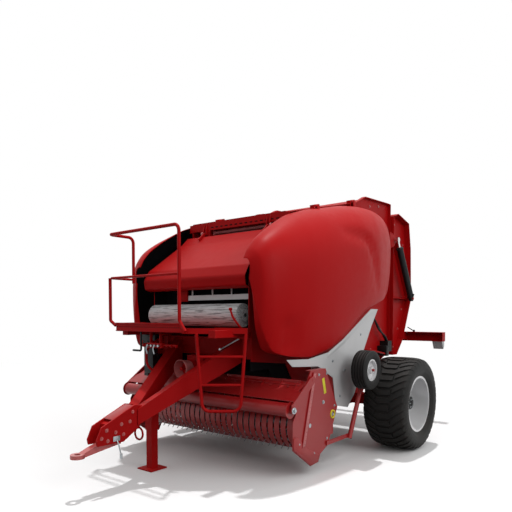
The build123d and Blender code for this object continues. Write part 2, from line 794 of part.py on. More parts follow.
def hose_stand():
    shape = block((-670, -590), (-2040, -1960), (1180, 1290))
    return shape + block((-660, -600), (-2030, -1970), (850, 1180))


def crank():
    return bar([(-377, -2300, deck_z - deck_sheet), (-377, -2300, 1140), (-500, -2300, 1140)], 10, 18)


nodes = {
    "side_wall_left": side_wall(),
    "roof_frame": roof(),
    "top_roller": top_roller(),
    "chamber_belts": belt_set(118, 100, (130, 180, 215)),
    "axle_beam": axle(),
    "rotor_housing": rotor_housing(),
    "tyre_left": tyre(),
    "rim_left": rim(),
    "hub_left": hub(),
    "tailgate_shell": tailgate(),
    "tailgate_belts": belt_set(-38, 84, (-25, 35)),
    "cylinder_barrel_left": cylinder_barrel(),
    "cylinder_rod_left": cylinder_rod(),
    "side_cover_left": side_cover(),
    "fender_left": fender(),
    "drawbar_left": drawbar_beam(),
    "front_crossmember": crossmember(),
    "hitch_nose": hitch_nose(),
    "tow_eye": tow_eye(),
    "input_gearbox": gearbox(),
    "jack_sleeve": jack_sleeve(),
    "jack_leg": jack_leg(),
    "platform": platform(),
    "platform_rail": rail(),
    "ladder": ladder(),
    "net_tray": net_tray(),
    "net_roll": net_roll(),
    "net_guard_bar": net_bar(),
    "net_hood": hood(),
    "pickup_beam": pickup_beam(),
    "pickup_panels": both_sides(pickup_panel()),
    "pickup_bands": pickup_bands(),
    "tine_reel": tine_reel(),
    "wind_guard": wind_guard(),
    "crop_roller": crop_roller(),
    "gauge_legs": both_sides(gauge_leg()),
    "gauge_tyre_left": gauge_tyre(),
    "gauge_rim_left": gauge_rim(),
    "lamp_beam": lamp_beam(),
    "rear_lamps": rear_lamps(),
    "valve_box": valve_box(),
    "hose_stand": hose_stand(),
    "crank_handle": crank(),
}
for name in [name for name in nodes if name.endswith("_left")]:
    nodes[name.replace("_left", "_right")] = mirror(nodes[name], about=Plane.YZ)

shift = (front_reach - rear_reach) / 2
os.makedirs("parts", exist_ok=True)
for name, shape in nodes.items():
    export_step(Pos(0, shift, 0) * shape, f"parts/{name}.step")
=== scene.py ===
import math

import bpy
from mathutils import Matrix, Vector


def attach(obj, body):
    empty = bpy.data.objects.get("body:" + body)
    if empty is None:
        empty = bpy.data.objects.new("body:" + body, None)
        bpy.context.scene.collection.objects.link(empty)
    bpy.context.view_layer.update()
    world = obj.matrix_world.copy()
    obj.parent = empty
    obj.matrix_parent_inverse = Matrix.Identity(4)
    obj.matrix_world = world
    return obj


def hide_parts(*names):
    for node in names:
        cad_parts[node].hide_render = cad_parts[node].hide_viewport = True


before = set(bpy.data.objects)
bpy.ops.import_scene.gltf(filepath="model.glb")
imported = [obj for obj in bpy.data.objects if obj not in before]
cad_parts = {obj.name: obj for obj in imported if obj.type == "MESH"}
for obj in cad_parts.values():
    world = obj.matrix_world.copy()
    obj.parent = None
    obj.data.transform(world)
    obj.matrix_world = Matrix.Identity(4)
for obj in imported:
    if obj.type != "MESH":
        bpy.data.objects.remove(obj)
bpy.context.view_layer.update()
bpy.ops.object.select_all(action="DESELECT")
scene = bpy.context.scene
axleY = 0.71  # the axle in the row frame; every place below is measured from the axle
print("frame loaded:", len(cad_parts), "nodes")

# camera at the viewer's place, tilted a little down; the shifts bring the machine to its place in the frame
cameraSetup = {"place": (3.718, -5.619, 1.484), "heading": 38.645, "down": 2.314,
               "lens": 36.66, "shiftX": 0.0021, "shiftY": 0.158}
bpy.ops.object.camera_add(
    location=Vector(cameraSetup["place"]) + Vector((0, axleY, 0)),
    rotation=(math.radians(90 - cameraSetup["down"]), 0, math.radians(cameraSetup["heading"])))
camera = bpy.context.object
camera.data.sensor_width = 36
camera.data.lens = cameraSetup["lens"]
camera.data.shift_x = cameraSetup["shiftX"]
camera.data.shift_y = cameraSetup["shiftY"]
camera.data.clip_end = 300
scene.camera = camera
scene.view_settings.view_transform = "Standard"

# modelling helpers


def deselect():
    if bpy.context.object and bpy.context.object.mode != "OBJECT":
        bpy.ops.object.mode_set(mode="OBJECT")
    bpy.ops.object.select_all(action="DESELECT")


def choose(piece):
    deselect()
    piece.select_set(True)
    bpy.context.view_layer.objects.active = piece
    return piece


def inEdit(piece, work):
    choose(piece)
    bpy.ops.object.mode_set(mode="EDIT")
    bpy.ops.mesh.select_all(action="SELECT")
    work()
    bpy.ops.object.mode_set(mode="OBJECT")
    return piece


def applyModifier(piece, kind, **values):
    choose(piece)
    modifier = piece.modifiers.new(kind.title(), kind)
    for key, value in values.items():
        setattr(modifier, key, value)
    bpy.ops.object.modifier_apply(modifier=modifier.name)
    return piece


def softEdges(piece, width, segments=2, angle=40):
    return applyModifier(piece, "BEVEL", width=width, segments=segments, limit_method="ANGLE",
                         angle_limit=math.radians(angle), use_clamp_overlap=True)


def cleanUp():
    bpy.ops.mesh.remove_doubles(threshold=0.00005)
    bpy.ops.mesh.dissolve_degenerate(threshold=0.00005)
    bpy.ops.mesh.normals_make_consistent(inside=False)


def onAxis(axis, along, a, b):
    return {"x": (along, a, b), "y": (a, along, b), "z": (a, b, along)}[axis]


def block(low, high, edge=0.003):
    size = [h - l for l, h in zip(low, high)]
    bpy.ops.mesh.primitive_cube_add(size=1, location=[(l + h) / 2 for l, h in zip(low, high)])
    piece = bpy.context.object
    piece.scale = size
    bpy.ops.object.transform_apply(location=True, rotation=True, scale=True)
    return softEdges(piece, min(edge, 0.4 * min(size))) if edge else piece


def cutPlate(outline, axis, low, high, edge=0.002):
    bpy.ops.mesh.primitive_circle_add(vertices=len(outline), radius=1, fill_type="NGON")
    piece = bpy.context.object
    for vertex, (a, b) in zip(piece.data.vertices, outline):
        vertex.co = onAxis(axis, low, a, b)

    def thicken():
        bpy.ops.mesh.extrude_region_move(
            TRANSFORM_OT_translate={"value": onAxis(axis, high - low, 0, 0)})
        bpy.ops.mesh.select_all(action="SELECT")
        bpy.ops.mesh.normals_make_consistent(inside=False)

    inEdit(piece, thicken)
    return softEdges(piece, edge) if edge else piece


def bentBar(points, radius, bend=0.03, sides=12):
    route = [Vector(points[0])]
    for before, corner, after in zip(points, points[1:], points[2:]):
        before, corner, after = Vector(before), Vector(corner), Vector(after)
        reach = min(bend, 0.48 * (before - corner).length, 0.48 * (after - corner).length)
        start = corner + (before - corner).normalized() * reach
        end = corner + (after - corner).normalized() * reach
        for step in range(7):
            t = step / 6
            route.append(start.lerp(corner, t).lerp(corner.lerp(end, t), t))
    route.append(Vector(points[-1]))
    deselect()
    bpy.ops.curve.primitive_nurbs_path_add()
    piece = bpy.context.object
    piece.data.splines.clear()
    spline = piece.data.splines.new("POLY")
    spline.points.add(len(route) - 1)
    for point, place in zip(spline.points, route):
        point.co = (*place, 1)
    piece.data.bevel_depth = radius
    piece.data.bevel_resolution = max(1, sides // 4)
    piece.data.use_fill_caps = True
    bpy.ops.object.convert(target="MESH")
    piece = bpy.context.object
    return inEdit(piece, cleanUp)


def turned(profile, centre, axis="x", steps=48):
    # profile of (along the axis, radius) points round the cut face, spun about the axis
    bpy.ops.mesh.primitive_circle_add(vertices=len(profile), radius=1, fill_type="NOTHING")
    piece = bpy.context.object
    direction = Vector(onAxis(axis, 1, 0, 0))
    outward = Vector(onAxis(axis, 0, 1, 0))
    for vertex, (along, radius) in zip(piece.data.vertices, profile):
        vertex.co = Vector(centre) + direction * along + outward * radius

    def spinRound():
        bpy.ops.mesh.spin(steps=steps, angle=math.tau, center=centre, axis=direction)
        bpy.ops.mesh.select_all(action="SELECT")
        cleanUp()

    return inEdit(piece, spinRound)


def disc(centre, axis, radius, thickness, steps=32, edge=0.002):
    half = thickness / 2
    profile = [(-half, 0), (-half, radius - edge), (-half + edge, radius),
               (half - edge, radius), (half, radius - edge), (half, 0)]
    return turned(profile, centre, axis, steps)


def joined(parts):
    deselect()
    for part in parts:
        part.select_set(True)
    bpy.context.view_layer.objects.active = parts[0]
    if len(parts) > 1:
        bpy.ops.object.join()
    return bpy.context.object


def copied(piece, matrix):
    twin = piece.copy()
    twin.data = piece.data.copy()
    twin.data.transform(matrix)
    scene.collection.objects.link(twin)
    return twin


def repeated(piece, matrices):
    copies = [copied(piece, matrix) for matrix in matrices]
    bpy.data.objects.remove(piece)
    return joined(copies)


def boltRow(spots, axis, size=0.011, side=1):
    # hexagon head with a washer under it, one at each spot, standing out along the axis
    turn = {"x": Matrix.Rotation(math.pi / 2 * side, 4, "Y"),
            "y": Matrix.Rotation(-math.pi / 2 * side, 4, "X"),
            "z": Matrix.Rotation(0 if side > 0 else math.pi, 4, "X")}[axis]
    bpy.ops.mesh.primitive_cylinder_add(vertices=6, radius=size, depth=0.7 * size, location=(0, 0, 0.5 * size))
    head = softEdges(bpy.context.object, 0.12 * size, 1)
    washer = disc((0, 0, 0.08 * size), "z", 1.5 * size, 0.16 * size, 14, 0.03 * size)
    bolt = joined([head, washer])
    bpy.ops.object.transform_apply(location=True, rotation=True, scale=True)
    return repeated(bolt, [Matrix.Translation(spot) @ turn for spot in spots])


def bothSides(make):
    # what make gives for the right side, -1, and the left side, 1
    return joined([make(side) for side in (-1, 1)])


def sideBlock(side, near, far, low, high, edge=0.003):
    # block between two distances out from the middle, on one side
    inner, outer = sorted((side * near, side * far))
    return block((inner, *low), (outer, *high), edge)


def sidePlates(outline, near, far, edge=0.001):
    return bothSides(lambda side: cutPlate(outline, "x", *sorted((side * near, side * far)), edge))


def sideBolts(x, spots, size):
    return bothSides(lambda side: boltRow([(side * x, y, z) for y, z in spots], "x", size, side))


def finished(piece, name, material, body, angle=32):
    piece.data.transform(Matrix.Translation((0, axleY, 0)))
    choose(piece)
    bpy.ops.object.transform_apply(location=True, rotation=True, scale=True)
    bpy.ops.object.shade_smooth_by_angle(angle=math.radians(angle))
    piece.name = name
    piece.data.name = name
    if material:
        piece.data.materials.clear()
        piece.data.materials.append(material)
    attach(piece, body)
    return piece


# shared shader groups


def newGroup(name, inputs, outputs):
    group = bpy.data.node_groups.new(name, "ShaderNodeTree")
    for label, value in inputs.items():
        kind = "NodeSocketColor" if isinstance(value, tuple) else "NodeSocketFloat"
        group.interface.new_socket(label, in_out="INPUT", socket_type=kind).default_value = value
    for label in outputs:
        kind = "NodeSocketColor" if label == "Color" else "NodeSocketFloat"
        group.interface.new_socket(label, in_out="OUTPUT", socket_type=kind)
    return group, group.nodes.new("NodeGroupInput").outputs, group.nodes.new("NodeGroupOutput").inputs


def addNode(tree, kind, inputs=None, **settings):
    node = tree.nodes.new(kind)
    for key, value in settings.items():
        setattr(node, key, value)
    for key, value in (inputs or {}).items():
        if isinstance(value, bpy.types.NodeSocket):
            tree.links.new(value, node.inputs[key])
        else:
            node.inputs[key].default_value = value
    return node


def noiseValue(tree, scale, detail=3.0, stretch=None):
    place = addNode(tree, "ShaderNodeTexCoord").outputs["Object"]
    if stretch:
        place = addNode(tree, "ShaderNodeMapping", {"Vector": place, "Scale": stretch}).outputs[0]
    node = addNode(tree, "ShaderNodeTexNoise", {"Vector": place, "Scale": scale, "Detail": detail})
    return node.outputs["Fac"]


def ranged(tree, value, fromLow, fromHigh, toLow, toHigh):
    return addNode(tree, "ShaderNodeMapRange", {"Value": value, "From Min": fromLow, "From Max": fromHigh,
                                                "To Min": toLow, "To Max": toHigh}).outputs[0]


def maths(tree, operation, a, b=0.0):
    return addNode(tree, "ShaderNodeMath", {0: a, 1: b}, operation=operation).outputs[0]


def mixed(tree, share, a, b):
    return addNode(tree, "ShaderNodeMix", {0: share, 6: a, 7: b}, data_type="RGBA").outputs[2]


# tone: slow patches of lighter and darker colour, uneven gloss and a fine surface texture
toneGroup, given, out = newGroup(
    "surfaceTone", {"Color": (0.5, 0.5, 0.5, 1), "Patch Scale": 2.0, "Patch Depth": 0.1, "Roughness": 0.3,
                    "Rough Spread": 0.08, "Grain Scale": 200.0}, ("Color", "Roughness", "Height"))
patches = ranged(toneGroup, noiseValue(toneGroup, given["Patch Scale"]), 0.3, 0.7,
                 maths(toneGroup, "SUBTRACT", 1.0, given["Patch Depth"]),
                 maths(toneGroup, "ADD", 1.0, given["Patch Depth"]))
shaded = addNode(toneGroup, "ShaderNodeHueSaturation", {"Color": given["Color"], "Value": patches})
toneGroup.links.new(shaded.outputs[0], out["Color"])
gloss = maths(toneGroup, "MULTIPLY", maths(toneGroup, "SUBTRACT", noiseValue(toneGroup, 14.0, 4.0), 0.5),
              maths(toneGroup, "MULTIPLY", given["Rough Spread"], 3.0))
toneGroup.links.new(maths(toneGroup, "ADD", given["Roughness"], gloss), out["Roughness"])
toneGroup.links.new(noiseValue(toneGroup, given["Grain Scale"], 2.0), out["Height"])

# wear: the finish rubbed through along sharp edges
wearGroup, given, out = newGroup(
    "edgeWear", {"Color": (0.5, 0.5, 0.5, 1), "Bare": (0.3, 0.3, 0.3, 1), "Amount": 0.5, "Width": 0.006},
    ("Color", "Mask"))
rounded = addNode(wearGroup, "ShaderNodeBevel", {"Radius": given["Width"]}, samples=4)
flat = addNode(wearGroup, "ShaderNodeNewGeometry")
turnedAway = addNode(wearGroup, "ShaderNodeVectorMath", {0: rounded.outputs[0], 1: flat.outputs["Normal"]},
                     operation="DOT_PRODUCT")
edges = ranged(wearGroup, turnedAway.outputs["Value"], 0.99, 0.86, 0.0, 1.0)
rubbed = ranged(wearGroup, noiseValue(wearGroup, 18.0, 5.0), 0.46, 0.62, 0.0, 1.0)
mask = maths(wearGroup, "MULTIPLY", maths(wearGroup, "MULTIPLY", edges, rubbed), given["Amount"])
wearGroup.links.new(mixed(wearGroup, mask, given["Color"], given["Bare"]), out["Color"])
wearGroup.links.new(mask, out["Mask"])

# dust: pale film on surfaces that face up and on whatever is low down
dustGroup, given, out = newGroup(
    "fieldDust", {"Color": (0.5, 0.5, 0.5, 1), "Roughness": 0.3, "Dust": (0.42, 0.33, 0.25, 1), "Amount": 0.2},
    ("Color", "Roughness"))
upward = addNode(dustGroup, "ShaderNodeSeparateXYZ",
                 {0: addNode(dustGroup, "ShaderNodeNewGeometry").outputs["Normal"]}).outputs[2]
height = addNode(dustGroup, "ShaderNodeSeparateXYZ",
                 {0: addNode(dustGroup, "ShaderNodeTexCoord").outputs["Object"]}).outputs[2]
laid = maths(dustGroup, "ADD", ranged(dustGroup, upward, 0.3, 1.0, 0.0, 0.6),
             ranged(dustGroup, height, 1.0, 0.05, 0.0, 0.6))
uneven = ranged(dustGroup, noiseValue(dustGroup, 7.0, 6.0), 0.35, 0.7, 0.2, 1.0)
settled = maths(dustGroup, "MULTIPLY", laid, uneven)
share = maths(dustGroup, "MULTIPLY", settled, given["Amount"])
dustGroup.links.new(mixed(dustGroup, share, given["Color"], given["Dust"]), out["Color"])
dustGroup.links.new(ranged(dustGroup, share, 0.0, 1.0, given["Roughness"], 0.85), out["Roughness"])

# colours and shares of every finish; gloss is the specular level, 0.4 where it isn't given
finishes = {
    "glossRed": {"color": (0.42, 0.004, 0.005), "rough": 0.48, "coat": 0.0, "gloss": 0.09,
                 "bare": (0.20, 0.02, 0.02), "wear": 0.5, "dust": 0.03, "depth": 0.07, "patch": 1.6,
                 "grain": 260, "bump": 0.04},
    "pressedRed": {"color": (0.36, 0.008, 0.010), "rough": 0.34, "coat": 0.0, "gloss": 0.45,
                   "bare": (0.25, 0.03, 0.03), "wear": 0.3, "dust": 0.05, "depth": 0.05, "patch": 2.2,
                   "grain": 300, "bump": 0.03},
    "coverRed": {"color": (0.44, 0.004, 0.005), "rough": 0.46, "coat": 0.0, "gloss": 0.08,
                 "bare": (0.3, 0.03, 0.03), "wear": 0.15, "dust": 0.02, "depth": 0.05, "patch": 1.0,
                 "grain": 420, "bump": 0.02},
    "silverPaint": {"color": (0.58, 0.58, 0.585), "rough": 0.42, "metal": 0.1, "coat": 0.2,
                    "bare": (0.25, 0.25, 0.25), "wear": 0.4, "dust": 0.14, "depth": 0.05, "patch": 2.5,
                    "grain": 500, "bump": 0.02},
    "rimSilver": {"color": (0.72, 0.72, 0.73), "rough": 0.30, "metal": 0.25, "coat": 0.3,
                  "bare": (0.3, 0.3, 0.3), "wear": 0.4, "dust": 0.12, "depth": 0.05, "patch": 4.0,
                  "grain": 300, "bump": 0.03},
    "blackPaint": {"color": (0.008, 0.009, 0.010), "rough": 0.5, "coat": 0.0, "gloss": 0.2,
                   "bare": (0.12, 0.12, 0.12), "wear": 0.5, "dust": 0.03, "depth": 0.15, "patch": 3.0,
                   "grain": 240, "bump": 0.05},
    # black of painted shade, for insides, hollows and openings that lie in shade
    "paintedShadeBlack": {"color": (0.004, 0.004, 0.005), "rough": 0.85, "coat": 0.0, "gloss": 0.08,
                    "bare": (0.05, 0.05, 0.05), "wear": 0.1, "dust": 0.02, "depth": 0.2, "patch": 3.0,
                    "grain": 160, "bump": 0.08},
    "greySteel": {"color": (0.34, 0.37, 0.39), "rough": 0.32, "metal": 0.9, "coat": 0.0,
                  "bare": (0.55, 0.55, 0.55), "wear": 0.4, "dust": 0.15, "depth": 0.12, "patch": 9.0,
                  "grain": 300, "bump": 0.06},
    "chromeRod": {"color": (0.70, 0.71, 0.72), "rough": 0.12, "metal": 1.0, "coat": 0.0,
                  "bare": (0.5, 0.5, 0.5), "wear": 0.0, "dust": 0.04, "depth": 0.02, "patch": 6.0,
                  "grain": 500, "bump": 0.01},
    "wornRed": {"color": (0.50, 0.085, 0.085), "rough": 0.30, "metal": 0.2, "coat": 0.3,
                "bare": (0.5, 0.3, 0.3), "wear": 0.7, "dust": 0.10, "depth": 0.10, "patch": 6.0,
                "grain": 240, "bump": 0.04},
    "tyreRubber": {"color": (0.013, 0.013, 0.013), "rough": 0.62, "coat": 0.0, "gloss": 0.18,
                   "bare": (0.05, 0.047, 0.045), "wear": 0.4, "dust": 0.06, "depth": 0.18, "patch": 5.0,
                   "grain": 380, "bump": 0.12},
    "beltRubber": {"color": (0.018, 0.018, 0.018), "rough": 0.70, "coat": 0.0,
                   "bare": (0.05, 0.05, 0.05), "wear": 0.2, "dust": 0.06, "depth": 0.2, "patch": 4.0,
                   "grain": 900, "bump": 0.35},
    "lampGrey": {"color": (0.42, 0.43, 0.44), "rough": 0.30, "coat": 0.4, "bare": (0.3, 0.3, 0.3),
                 "wear": 0.1, "dust": 0.05, "depth": 0.06, "patch": 20.0, "grain": 150, "bump": 0.20},
    "plateYellow": {"color": (0.75, 0.68, 0.02), "rough": 0.40, "coat": 0.2, "bare": (0.4, 0.35, 0.05),
                    "wear": 0.4, "dust": 0.08, "depth": 0.06, "patch": 20.0, "grain": 300,
                    "bump": 0.02},
    # red with a painted sheen: the pale pink stands for highlights on red paint
    "sheenPaintedRed": {"color": (0.55, 0.16, 0.16), "rough": 0.40, "coat": 0.0, "gloss": 0.35,
                 "bare": (0.5, 0.3, 0.3), "wear": 0.5, "dust": 0.04, "depth": 0.10, "patch": 6.0,
                 "grain": 240, "bump": 0.04},
}


def makeFinish(name, look):
    material = bpy.data.materials.new(name)
    material.use_nodes = True
    tree = material.node_tree
    shader = tree.nodes["Principled BSDF"]

    def useGroup(group, values):
        return addNode(tree, "ShaderNodeGroup", values, node_tree=group).outputs

    tone = useGroup(toneGroup, {"Color": (*look["color"], 1), "Patch Scale": look["patch"],
                                "Patch Depth": look["depth"], "Roughness": look["rough"],
                                "Rough Spread": 0.05, "Grain Scale": look["grain"]})
    worn = useGroup(wearGroup, {"Color": tone["Color"], "Bare": (*look["bare"], 1),
                                "Amount": look["wear"], "Width": 0.005})
    dusty = useGroup(dustGroup, {"Color": worn["Color"], "Roughness": tone["Roughness"],
                                 "Amount": look["dust"]})
    tree.links.new(dusty["Color"], shader.inputs["Base Color"])
    tree.links.new(dusty["Roughness"], shader.inputs["Roughness"])
    bump = addNode(tree, "ShaderNodeBump", {"Height": tone["Height"], "Strength": look["bump"],
                                            "Distance": 0.002})
    tree.links.new(bump.outputs[0], shader.inputs["Normal"])
    shader.inputs["Metallic"].default_value = look.get("metal", 0.0)
    shader.inputs["Coat Weight"].default_value = look["coat"]
    shader.inputs["Coat Roughness"].default_value = 0.12
    shader.inputs["Specular IOR Level"].default_value = look.get("gloss", 0.4)
    return material


finish = {name: makeFinish(name, look) for name, look in finishes.items()}


def addPattern(material, height, strength, distance):
    # one more bump laid over the finish's own
    tree = material.node_tree
    shader = tree.nodes["Principled BSDF"]
    under = shader.inputs["Normal"].links[0].from_socket
    bump = addNode(tree, "ShaderNodeBump", {"Height": height(tree), "Strength": strength, "Distance": distance,
                                            "Normal": under})
    tree.links.new(bump.outputs[0], shader.inputs["Normal"])


def deckRibs(tree):
    # rows of small raised bars, as on tread plate
    place = addNode(tree, "ShaderNodeTexCoord").outputs["Object"]
    turns = []
    for angle in (0.785, -0.785):
        spun = addNode(tree, "ShaderNodeMapping", {"Vector": place, "Rotation": (0, 0, angle),
                                                   "Scale": (34, 11, 1)})
        cell = addNode(tree, "ShaderNodeTexVoronoi", {"Vector": spun.outputs[0], "Scale": 1.0,
                                                      "Randomness": 0.0})
        turns.append(ranged(tree, cell.outputs["Distance"], 0.16, 0.24, 1.0, 0.0))
    return maths(tree, "MAXIMUM", turns[0], turns[1])


finish["deckRed"] = makeFinish("deckRed", {**finishes["glossRed"], "dust": 0.08})
addPattern(finish["deckRed"], deckRibs, 0.5, 0.002)


netLook = {"color": (0.62, 0.64, 0.65), "rough": 0.55, "coat": 0.1, "bare": (0.5, 0.5, 0.5), "wear": 0.0,
           "dust": 0.04, "depth": 0.06, "patch": 9.0, "grain": 90, "bump": 0.2}


def netMaterial():
    # film wound round the roll: shaded streaks along it and fine threads
    material = makeFinish("netWrap", netLook)
    tree = material.node_tree
    shader = tree.nodes["Principled BSDF"]
    streaks = ranged(tree, noiseValue(tree, 1.0, 4.0, (5.0, 90.0, 90.0)), 0.40, 0.47, 0.0, 1.0)
    threads = ranged(tree, noiseValue(tree, 1.0, 1.0, (420.0, 60.0, 60.0)), 0.3, 0.6, 0.8, 1.0)
    folds = maths(tree, "MULTIPLY", streaks, threads)
    clean = shader.inputs["Base Color"].links[0].from_socket
    tree.links.new(mixed(tree, folds, (0.20, 0.205, 0.21, 1), clean), shader.inputs["Base Color"])
    addPattern(material, lambda t: folds, 0.6, 0.004)
    return material


finish["netWrap"] = netMaterial()
print("finishes made:", len(finish))

# finish of every CAD node
nodeFinish = {
    "glossRed": ["side_wall_left", "side_wall_right", "roof_frame", "axle_beam", "drawbar_left",
                 "drawbar_right", "front_crossmember", "hitch_nose", "input_gearbox", "jack_sleeve",
                 "jack_leg", "platform_rail", "ladder", "net_hood", "tailgate_shell", "lamp_beam"],
    "pressedRed": ["pickup_panels", "pickup_beam", "pickup_bands", "wind_guard", "crop_roller", "gauge_legs"],
    "wornRed": ["tow_eye"],
    "coverRed": ["side_cover_left", "side_cover_right"],
    "deckRed": ["platform"],
    "silverPaint": ["fender_left", "fender_right", "net_guard_bar"],
    "rimSilver": ["rim_left", "rim_right", "gauge_rim_left", "gauge_rim_right"],
    "blackPaint": ["rotor_housing", "hub_left", "hub_right", "cylinder_barrel_left", "cylinder_barrel_right",
                   "hose_stand", "crank_handle", "valve_box"],
    # the net tray is black as painted shade
    "paintedShadeBlack": ["net_tray"],
    "greySteel": ["tine_reel", "top_roller"],
    "chromeRod": ["cylinder_rod_left", "cylinder_rod_right"],
    "tyreRubber": ["tyre_left", "tyre_right", "gauge_tyre_left", "gauge_tyre_right"],
    "beltRubber": ["chamber_belts", "tailgate_belts"],
    "netWrap": ["net_roll"],
    "lampGrey": ["rear_lamps"],
}
for name, members in nodeFinish.items():
    for member in members:
        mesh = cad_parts[member].data
        mesh.materials.clear()
        mesh.materials.append(finish[name])
print("CAD nodes finished:", sum(len(members) for members in nodeFinish.values()))

# main tyres: carcass with a sidewall rib, and chevron bars
mainTyre = {"x": 1.345, "z": 0.51, "rows": 38, "barWidth": 0.060, "barTop": 0.86, "barHeight": 0.015,
            "barRoot": -0.004, "shoulderFall": 0.45, "straight": 0.062, "slanted": 0.181, "drop": 0.125,
            "treadRadius": 0.5,
            "longPart": [-0.243, -0.232, -0.212, -0.16, -0.11, -0.062, 0.0, 0.062, 0.075],
            "shortPart": [0.094, 0.12, 0.165, 0.212, 0.232, 0.243],
            "crownPoints": 7,
            # half of the cut face, from the middle of the tread round to the middle of the inside
            "profile": [(0, 0.495), (0.10, 0.494), (0.17, 0.490), (0.205, 0.484), (0.226, 0.472),
                        (0.238, 0.448), (0.244, 0.420), (0.245, 0.395), (0.240, 0.380), (0.241, 0.368),
                        (0.236, 0.356), (0.228, 0.338), (0.216, 0.320), (0.208, 0.312), (0.205, 0.300),
                        (0.200, 0.292), (0.186, 0.292), (0.190, 0.320), (0.212, 0.380), (0.212, 0.440),
                        (0.180, 0.474), (0.10, 0.482), (0, 0.484)]}


def crownRadius(tyre, x):
    crown = tyre["profile"][:tyre["crownPoints"]]
    for (x0, r0), (x1, r1) in zip(crown, crown[1:]):
        if x0 <= abs(x) <= x1:
            return r0 + (r1 - r0) * (abs(x) - x0) / (x1 - x0)
    return crown[-1][1]


def chevronBar(tyre, split):
    # one bar across the tread; split says on which side of the middle it has its short gap
    halves = []
    for places in (tyre["longPart"], tyre["shortPart"]):
        bpy.ops.mesh.primitive_grid_add(x_subdivisions=len(places) - 1, y_subdivisions=1, size=1)
        strip = bpy.context.object
        inEdit(strip, lambda: bpy.ops.mesh.extrude_region_move(TRANSFORM_OT_translate={"value": (0, 0, 1)}))
        for vertex in strip.data.vertices:
            along = places[round((vertex.co.x + 0.5) * (len(places) - 1))]
            top = vertex.co.z > 0.5
            slope = max(0.0, abs(along) - tyre["straight"]) / tyre["slanted"]
            width = tyre["barWidth"] * (tyre["barTop"] if top else 1.0)
            turn = (tyre["drop"] * slope + vertex.co.y * width) / tyre["treadRadius"]
            rise = tyre["barHeight"] * (1 - tyre["shoulderFall"] * slope ** 3) if top else tyre["barRoot"]
            radius = crownRadius(tyre, along) + rise
            vertex.co = (along * split, -radius * math.cos(turn), radius * math.sin(turn))
        halves.append(inEdit(strip, cleanUp))
    return joined(halves)


def mainTyrePiece(side, name):
    tyre = mainTyre
    ring = tyre["profile"] + [(-x, r) for x, r in reversed(tyre["profile"][1:-1])]
    parts = [turned(ring, (0, 0, 0), "x", 72)]
    pitch = math.tau / tyre["rows"]
    for split in (1, -1):
        start = 0 if split > 0 else pitch
        turns = [start + 2 * pitch * row for row in range(tyre["rows"] // 2)]
        parts.append(repeated(chevronBar(tyre, split), [Matrix.Rotation(turn, 4, "X") for turn in turns]))
    whole = joined(parts)
    whole.data.transform(Matrix.Translation((side * tyre["x"], 0, tyre["z"])))
    finished(whole, name, finish["tyreRubber"], "wheel_left" if side > 0 else "wheel_right", 28)
    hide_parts("tyre_left" if side > 0 else "tyre_right")


mainTyrePiece(1, "chevronTyreLeft")
mainTyrePiece(-1, "chevronTyreRight")

# gauge wheel tyres with grooves round the tread
gaugeTyre = {"place": (1.275, -0.73, 0.93), "grooves": (0.031, 0.057), "mouth": 0.0045, "floor": 0.0025,
             "treadRadius": 0.2, "floorRadius": 0.191, "ribRadius": 0.1995,
             "profile": [(0.066, 0.1985), (0.074, 0.193), (0.080, 0.180), (0.0825, 0.160), (0.081, 0.140),
                         (0.074, 0.120), (0.062, 0.108), (0.052, 0.105), (0.044, 0.106), (0.050, 0.118),
                         (0.060, 0.150), (0.055, 0.175), (0.0, 0.182)]}


def gaugeTyrePiece(side, name):
    mouth, floor = gaugeTyre["mouth"], gaugeTyre["floor"]
    high, deep = gaugeTyre["treadRadius"], gaugeTyre["floorRadius"]
    half = [(0.0, deep), (floor, deep), (mouth, high)]
    for groove in gaugeTyre["grooves"]:
        half += [(groove - mouth, high), (groove - floor, deep), (groove + floor, deep),
                 (groove + mouth, gaugeTyre["ribRadius"])]
    half += gaugeTyre["profile"]
    ring = half + [(-x, r) for x, r in reversed(half[1:-1])]
    x, y, z = gaugeTyre["place"]
    tyre = turned(ring, (side * x, y, z), "x", 56)
    body = "gauge_wheel_left" if side > 0 else "gauge_wheel_right"
    finished(tyre, name, finish["tyreRubber"], body, 30)
    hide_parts("gauge_tyre_left" if side > 0 else "gauge_tyre_right")


gaugeTyrePiece(1, "ribbedTyreLeft")
gaugeTyrePiece(-1, "ribbedTyreRight")
print("tyres made")
